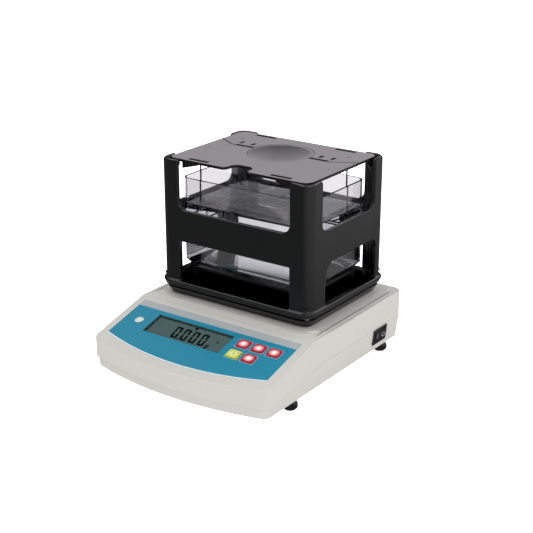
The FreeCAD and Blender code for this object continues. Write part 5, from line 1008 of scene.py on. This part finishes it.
def rocker_face(side):
    """Plane at the middle of one half of the rocker: x along the wall, y up it, z outwards."""
    middle = side * ROCKER_HALF_LONG / 2
    out = ROCKER_OUT + abs(middle) * math.tan(ROCKER_TILT) - PIVOT_OUT
    turned_out = PIVOT_OUT + out * math.cos(ROCKER_TILT) + middle * math.sin(ROCKER_TILT)
    turned_along = middle * math.cos(ROCKER_TILT) - out * math.sin(ROCKER_TILT)
    axes = Matrix(((0, 0, 1), (1, 0, 0), (0, 1, 0))).to_4x4()
    return (at(SIDE_WALL, turned_out, turned_along) @ Matrix.Rotation(-ROCKER_TILT * (1 + side), 4, "Z")
            @ axes @ Matrix.Translation((0, 0, MARK_OUT * MM)))


upright = rectangle(-BAR_HALF_X, -BAR_HALF_Y, BAR_HALF_X, BAR_HALF_Y)
add_piece("rocker_on", flat_shapes([upright], rocker_face(-1)), "rocker", grey_ink)
add_piece("rocker_off", disc(rocker_face(1), LOOP_RADIUS, INK_TALL, LOOP_HOLE), "rocker", grey_ink)
print("rocker marked")

# %% [markdown]
# ## Water
#
# The tank is filled to just above the middle band of the frame.  The water is one closed body that reaches a
# hair into the acrylic, so that light passes from one to the other without a film of air, and its surface
# turns up slightly where it wets the wall.  It is built as a stack of rounded rectangles: up the rounded
# foot, up the wall, and in over the surface.  A copy of the tank's inside would have no such turned-up rim.

# %% The body of water
WATER_TOP, TANK_FLOOR, TANK_MID_Y = 148.7, 90.0, 42
TANK_HALF_X, TANK_HALF_Y, TANK_ROUND, TANK_FOOT = 71.0, 46.5, 7.0, 5.0
OVERLAP = 0.1                                           # how far the water reaches into the acrylic
WALL_CREEP, SHEEN_LIFT = 1.1, 0.1                       # how high it wets the wall, and where its sheen lies
MENISCUS = (0.15, 0.75), (0.5, 0.4), (1.1, 0.14), (2.2, 0.0)   # from the wall, and above the surface


def water_loop(shape, inset, height, least_round=1.0):
    """One level loop of the water, so far inside the tank's wall."""
    radius = max(TANK_ROUND - inset, least_round)
    return [shape.verts.new((x, TANK_MID_Y + y, height))
            for x, y in rounded_loop(TANK_HALF_X - inset, TANK_HALF_Y - inset, radius, steps=10)]


def water_body():
    """The closed body: foot, wall, turned-up rim and surface."""
    shape = bmesh.new()
    angles = [math.radians(degrees) for degrees in range(0, 91, 15)]
    rings = [water_loop(shape, TANK_FOOT - TANK_FOOT * math.sin(angle) - OVERLAP,
                        TANK_FLOOR + TANK_FOOT - TANK_FOOT * math.cos(angle) - OVERLAP) for angle in angles]
    rings.append(water_loop(shape, -OVERLAP, WATER_TOP + WALL_CREEP))
    rings += [water_loop(shape, inset, WATER_TOP + rise) for inset, rise in MENISCUS]
    for lower, upper in zip(rings, rings[1:]):
        for i in range(len(lower)):
            j = (i + 1) % len(lower)
            shape.faces.new((lower[i], lower[j], upper[j], upper[i]))
    shape.faces.new(list(reversed(rings[0])))
    shape.faces.new(rings[-1])
    bmesh.ops.recalc_face_normals(shape, faces=shape.faces)
    mesh = to_mesh(shape, Matrix())
    mesh.shade_smooth()
    mesh.set_sharp_from_angle(angle=SHARP_FROM)
    return mesh


def water_sheen():
    """One flat face just over the level part of the surface, which carries the painted sheen."""
    shape = bmesh.new()
    shape.faces.new(water_loop(shape, MENISCUS[-1][0], WATER_TOP + SHEEN_LIFT))
    return to_mesh(shape, Matrix())


add_piece("water", water_body(), "tank", tank_water)
add_piece("water_sheen", water_sheen(), "tank", water_painted_sheen)
print(f"water {WATER_TOP - TANK_FLOOR:.1f} mm deep")

# %% [markdown]
# ## The studio
#
# A white floor and a white world.  Both show plain white wherever the camera sees them, straight or through
# the clear parts, and the floor still takes the soft shadow under the housing.  What a glossy surface mirrors
# is set apart from that: dark low down, bright overhead and on the right, so that the black frame shows its
# form.  An all-white room would wash it out, and a dark one would grey the backdrop.  Three large soft lamps
# stand at the upper left, on the right and behind.

# %% Floor
FLOOR_HALF = 6.0                                        # metres
FLOOR_GLOW = 0.62                                       # what diffuse rays find
FLOOR_MIRROR, FLOOR_MIRROR_X = (0.12, 0.6), (0.1, 0.5)  # mirrored at left and at right, and where that turns


def seen_rays(tree):
    """The light path, and a mask for rays that show the studio to the camera."""
    path = add_node(tree, "ShaderNodeLightPath")
    seen = add_node(tree, "ShaderNodeMath", {
        0: path.outputs["Is Camera Ray"], 1: path.outputs["Is Transmission Ray"]},
        operation="ADD", use_clamp=True)
    return path, seen


def studio_floor():
    """A white square under everything, which is no part of the instrument."""
    # matt white board: it glows by itself where it is seen, and takes the shadow
    material = new_finish("studio_floor", "EDEDED", 0.9)
    tree, shader = insides(material)
    path, seen = seen_rays(tree)
    shown = add_node(tree, "ShaderNodeMix", {"Factor": seen.outputs[0], "A": FLOOR_GLOW, "B": 1.0},
                     data_type="FLOAT")
    glow = add_node(tree, "ShaderNodeEmission", {"Strength": shown.outputs[0]})
    lit = add_node(tree, "ShaderNodeAddShader", {0: shader.outputs[0], 1: glow.outputs[0]})
    place = add_node(tree, "ShaderNodeNewGeometry")
    split = add_node(tree, "ShaderNodeSeparateXYZ", {"Vector": place.outputs["Position"]})
    mirrored = add_node(tree, "ShaderNodeMapRange", {
        "Value": split.outputs["X"], "From Min": FLOOR_MIRROR_X[0], "From Max": FLOOR_MIRROR_X[1],
        "To Min": FLOOR_MIRROR[0], "To Max": FLOOR_MIRROR[1]})
    image = add_node(tree, "ShaderNodeEmission", {"Strength": mirrored.outputs["Result"]})
    only_mirrored = add_node(tree, "ShaderNodeMath", {0: path.outputs["Is Glossy Ray"], 1: seen.outputs[0]},
                             operation="SUBTRACT", use_clamp=True)
    most = add_node(tree, "ShaderNodeMixShader", {
        0: only_mirrored.outputs[0], 1: lit.outputs[0], 2: image.outputs[0]})
    plain = add_node(tree, "ShaderNodeEmission", {"Strength": 1.0})
    done = add_node(tree, "ShaderNodeMixShader", {
        0: path.outputs["Is Transmission Ray"], 1: most.outputs[0], 2: plain.outputs[0]})
    tree.links.new(done.outputs[0], tree.nodes["Material Output"].inputs["Surface"])
    mesh = bpy.data.meshes.new("floor")
    mesh.from_pydata([(x * FLOOR_HALF, y * FLOOR_HALF, 0) for x, y in ((-1, -1), (1, -1), (1, 1), (-1, 1))],
                     [], [(0, 1, 2, 3)])
    mesh.materials.append(material)
    floor = bpy.data.objects.new("floor", mesh)
    bpy.context.collection.objects.link(floor)


studio_floor()
print(f"floor {2 * FLOOR_HALF:.0f} m wide")

# %% World
WORLD_GLOW = 0.74                                       # what diffuse rays find
LOW_MIRROR, HIGH_MIRROR, RIGHT_MIRROR = 0.06, 0.9, 0.5  # mirrored low down, overhead, and added on the right
HIGH_FROM, RIGHT_FROM = (0.45, 0.85), (0.35, 0.75)      # directions between which those set in


def studio_world():
    """White where it is seen; a set level for diffuse rays, and a picture of a studio for mirrors."""
    world = bpy.data.worlds.new("studio")
    world.use_nodes = True
    tree = world.node_tree
    path, seen = seen_rays(tree)
    toward = add_node(tree, "ShaderNodeTexCoord")
    split = add_node(tree, "ShaderNodeSeparateXYZ", {"Vector": toward.outputs["Generated"]})
    above = add_node(tree, "ShaderNodeMapRange", {
        "Value": split.outputs["Z"], "From Min": HIGH_FROM[0], "From Max": HIGH_FROM[1],
        "To Min": LOW_MIRROR, "To Max": HIGH_MIRROR})
    aside = add_node(tree, "ShaderNodeMapRange", {
        "Value": split.outputs["X"], "From Min": RIGHT_FROM[0], "From Max": RIGHT_FROM[1],
        "To Min": 0.0, "To Max": RIGHT_MIRROR})
    mirrored = add_node(tree, "ShaderNodeMath", {0: above.outputs["Result"], 1: aside.outputs["Result"]},
                        operation="ADD")
    unseen = add_node(tree, "ShaderNodeMix", {
        "Factor": path.outputs["Is Glossy Ray"], "A": WORLD_GLOW, "B": mirrored.outputs[0]},
        data_type="FLOAT")
    level = add_node(tree, "ShaderNodeMix", {"Factor": seen.outputs[0], "A": unseen.outputs[0], "B": 1.0},
                     data_type="FLOAT")
    background = tree.nodes["Background"]
    background.inputs["Color"].default_value = (1, 1, 1, 1)
    tree.links.new(level.outputs[0], background.inputs["Strength"])
    bpy.context.scene.world = world


studio_world()
print(f"world at {WORLD_GLOW} for diffuse rays")

# %% Lamps
# place, aim, size in metres and power in watts
LAMPS = {"key_lamp": ((-0.75, -0.5, 1.85), (0, 0, 0.08), (1.2, 1.2), 14),
         "side_lamp": ((1.2, -0.4, 1.5), (0, 0, 0.1), (0.8, 1.0), 7),
         "back_lamp": ((0.4, 1.4, 1.3), (0, 0.04, 0.15), (1.6, 0.7), 9)}


def soft_lamp(name, place, aim, size, power):
    """A rectangular lamp at a place, turned towards its aim."""
    lamp = bpy.data.lights.new(name, "AREA")
    lamp.shape = "RECTANGLE"
    lamp.size, lamp.size_y = size
    lamp.energy = power
    holder = bpy.data.objects.new(name, lamp)
    turned = (Vector(aim) - Vector(place)).to_track_quat("-Z", "Y").to_matrix().to_4x4()
    holder.matrix_world = Matrix.Translation(place) @ turned
    bpy.context.collection.objects.link(holder)


for name, lamp_spec in LAMPS.items():
    soft_lamp(name, *lamp_spec)
bpy.context.scene.view_settings.view_transform = "Standard"
print(len(LAMPS), "lamps lit")

# %% [markdown]
# ## One more import
#

# %% Import json
import json
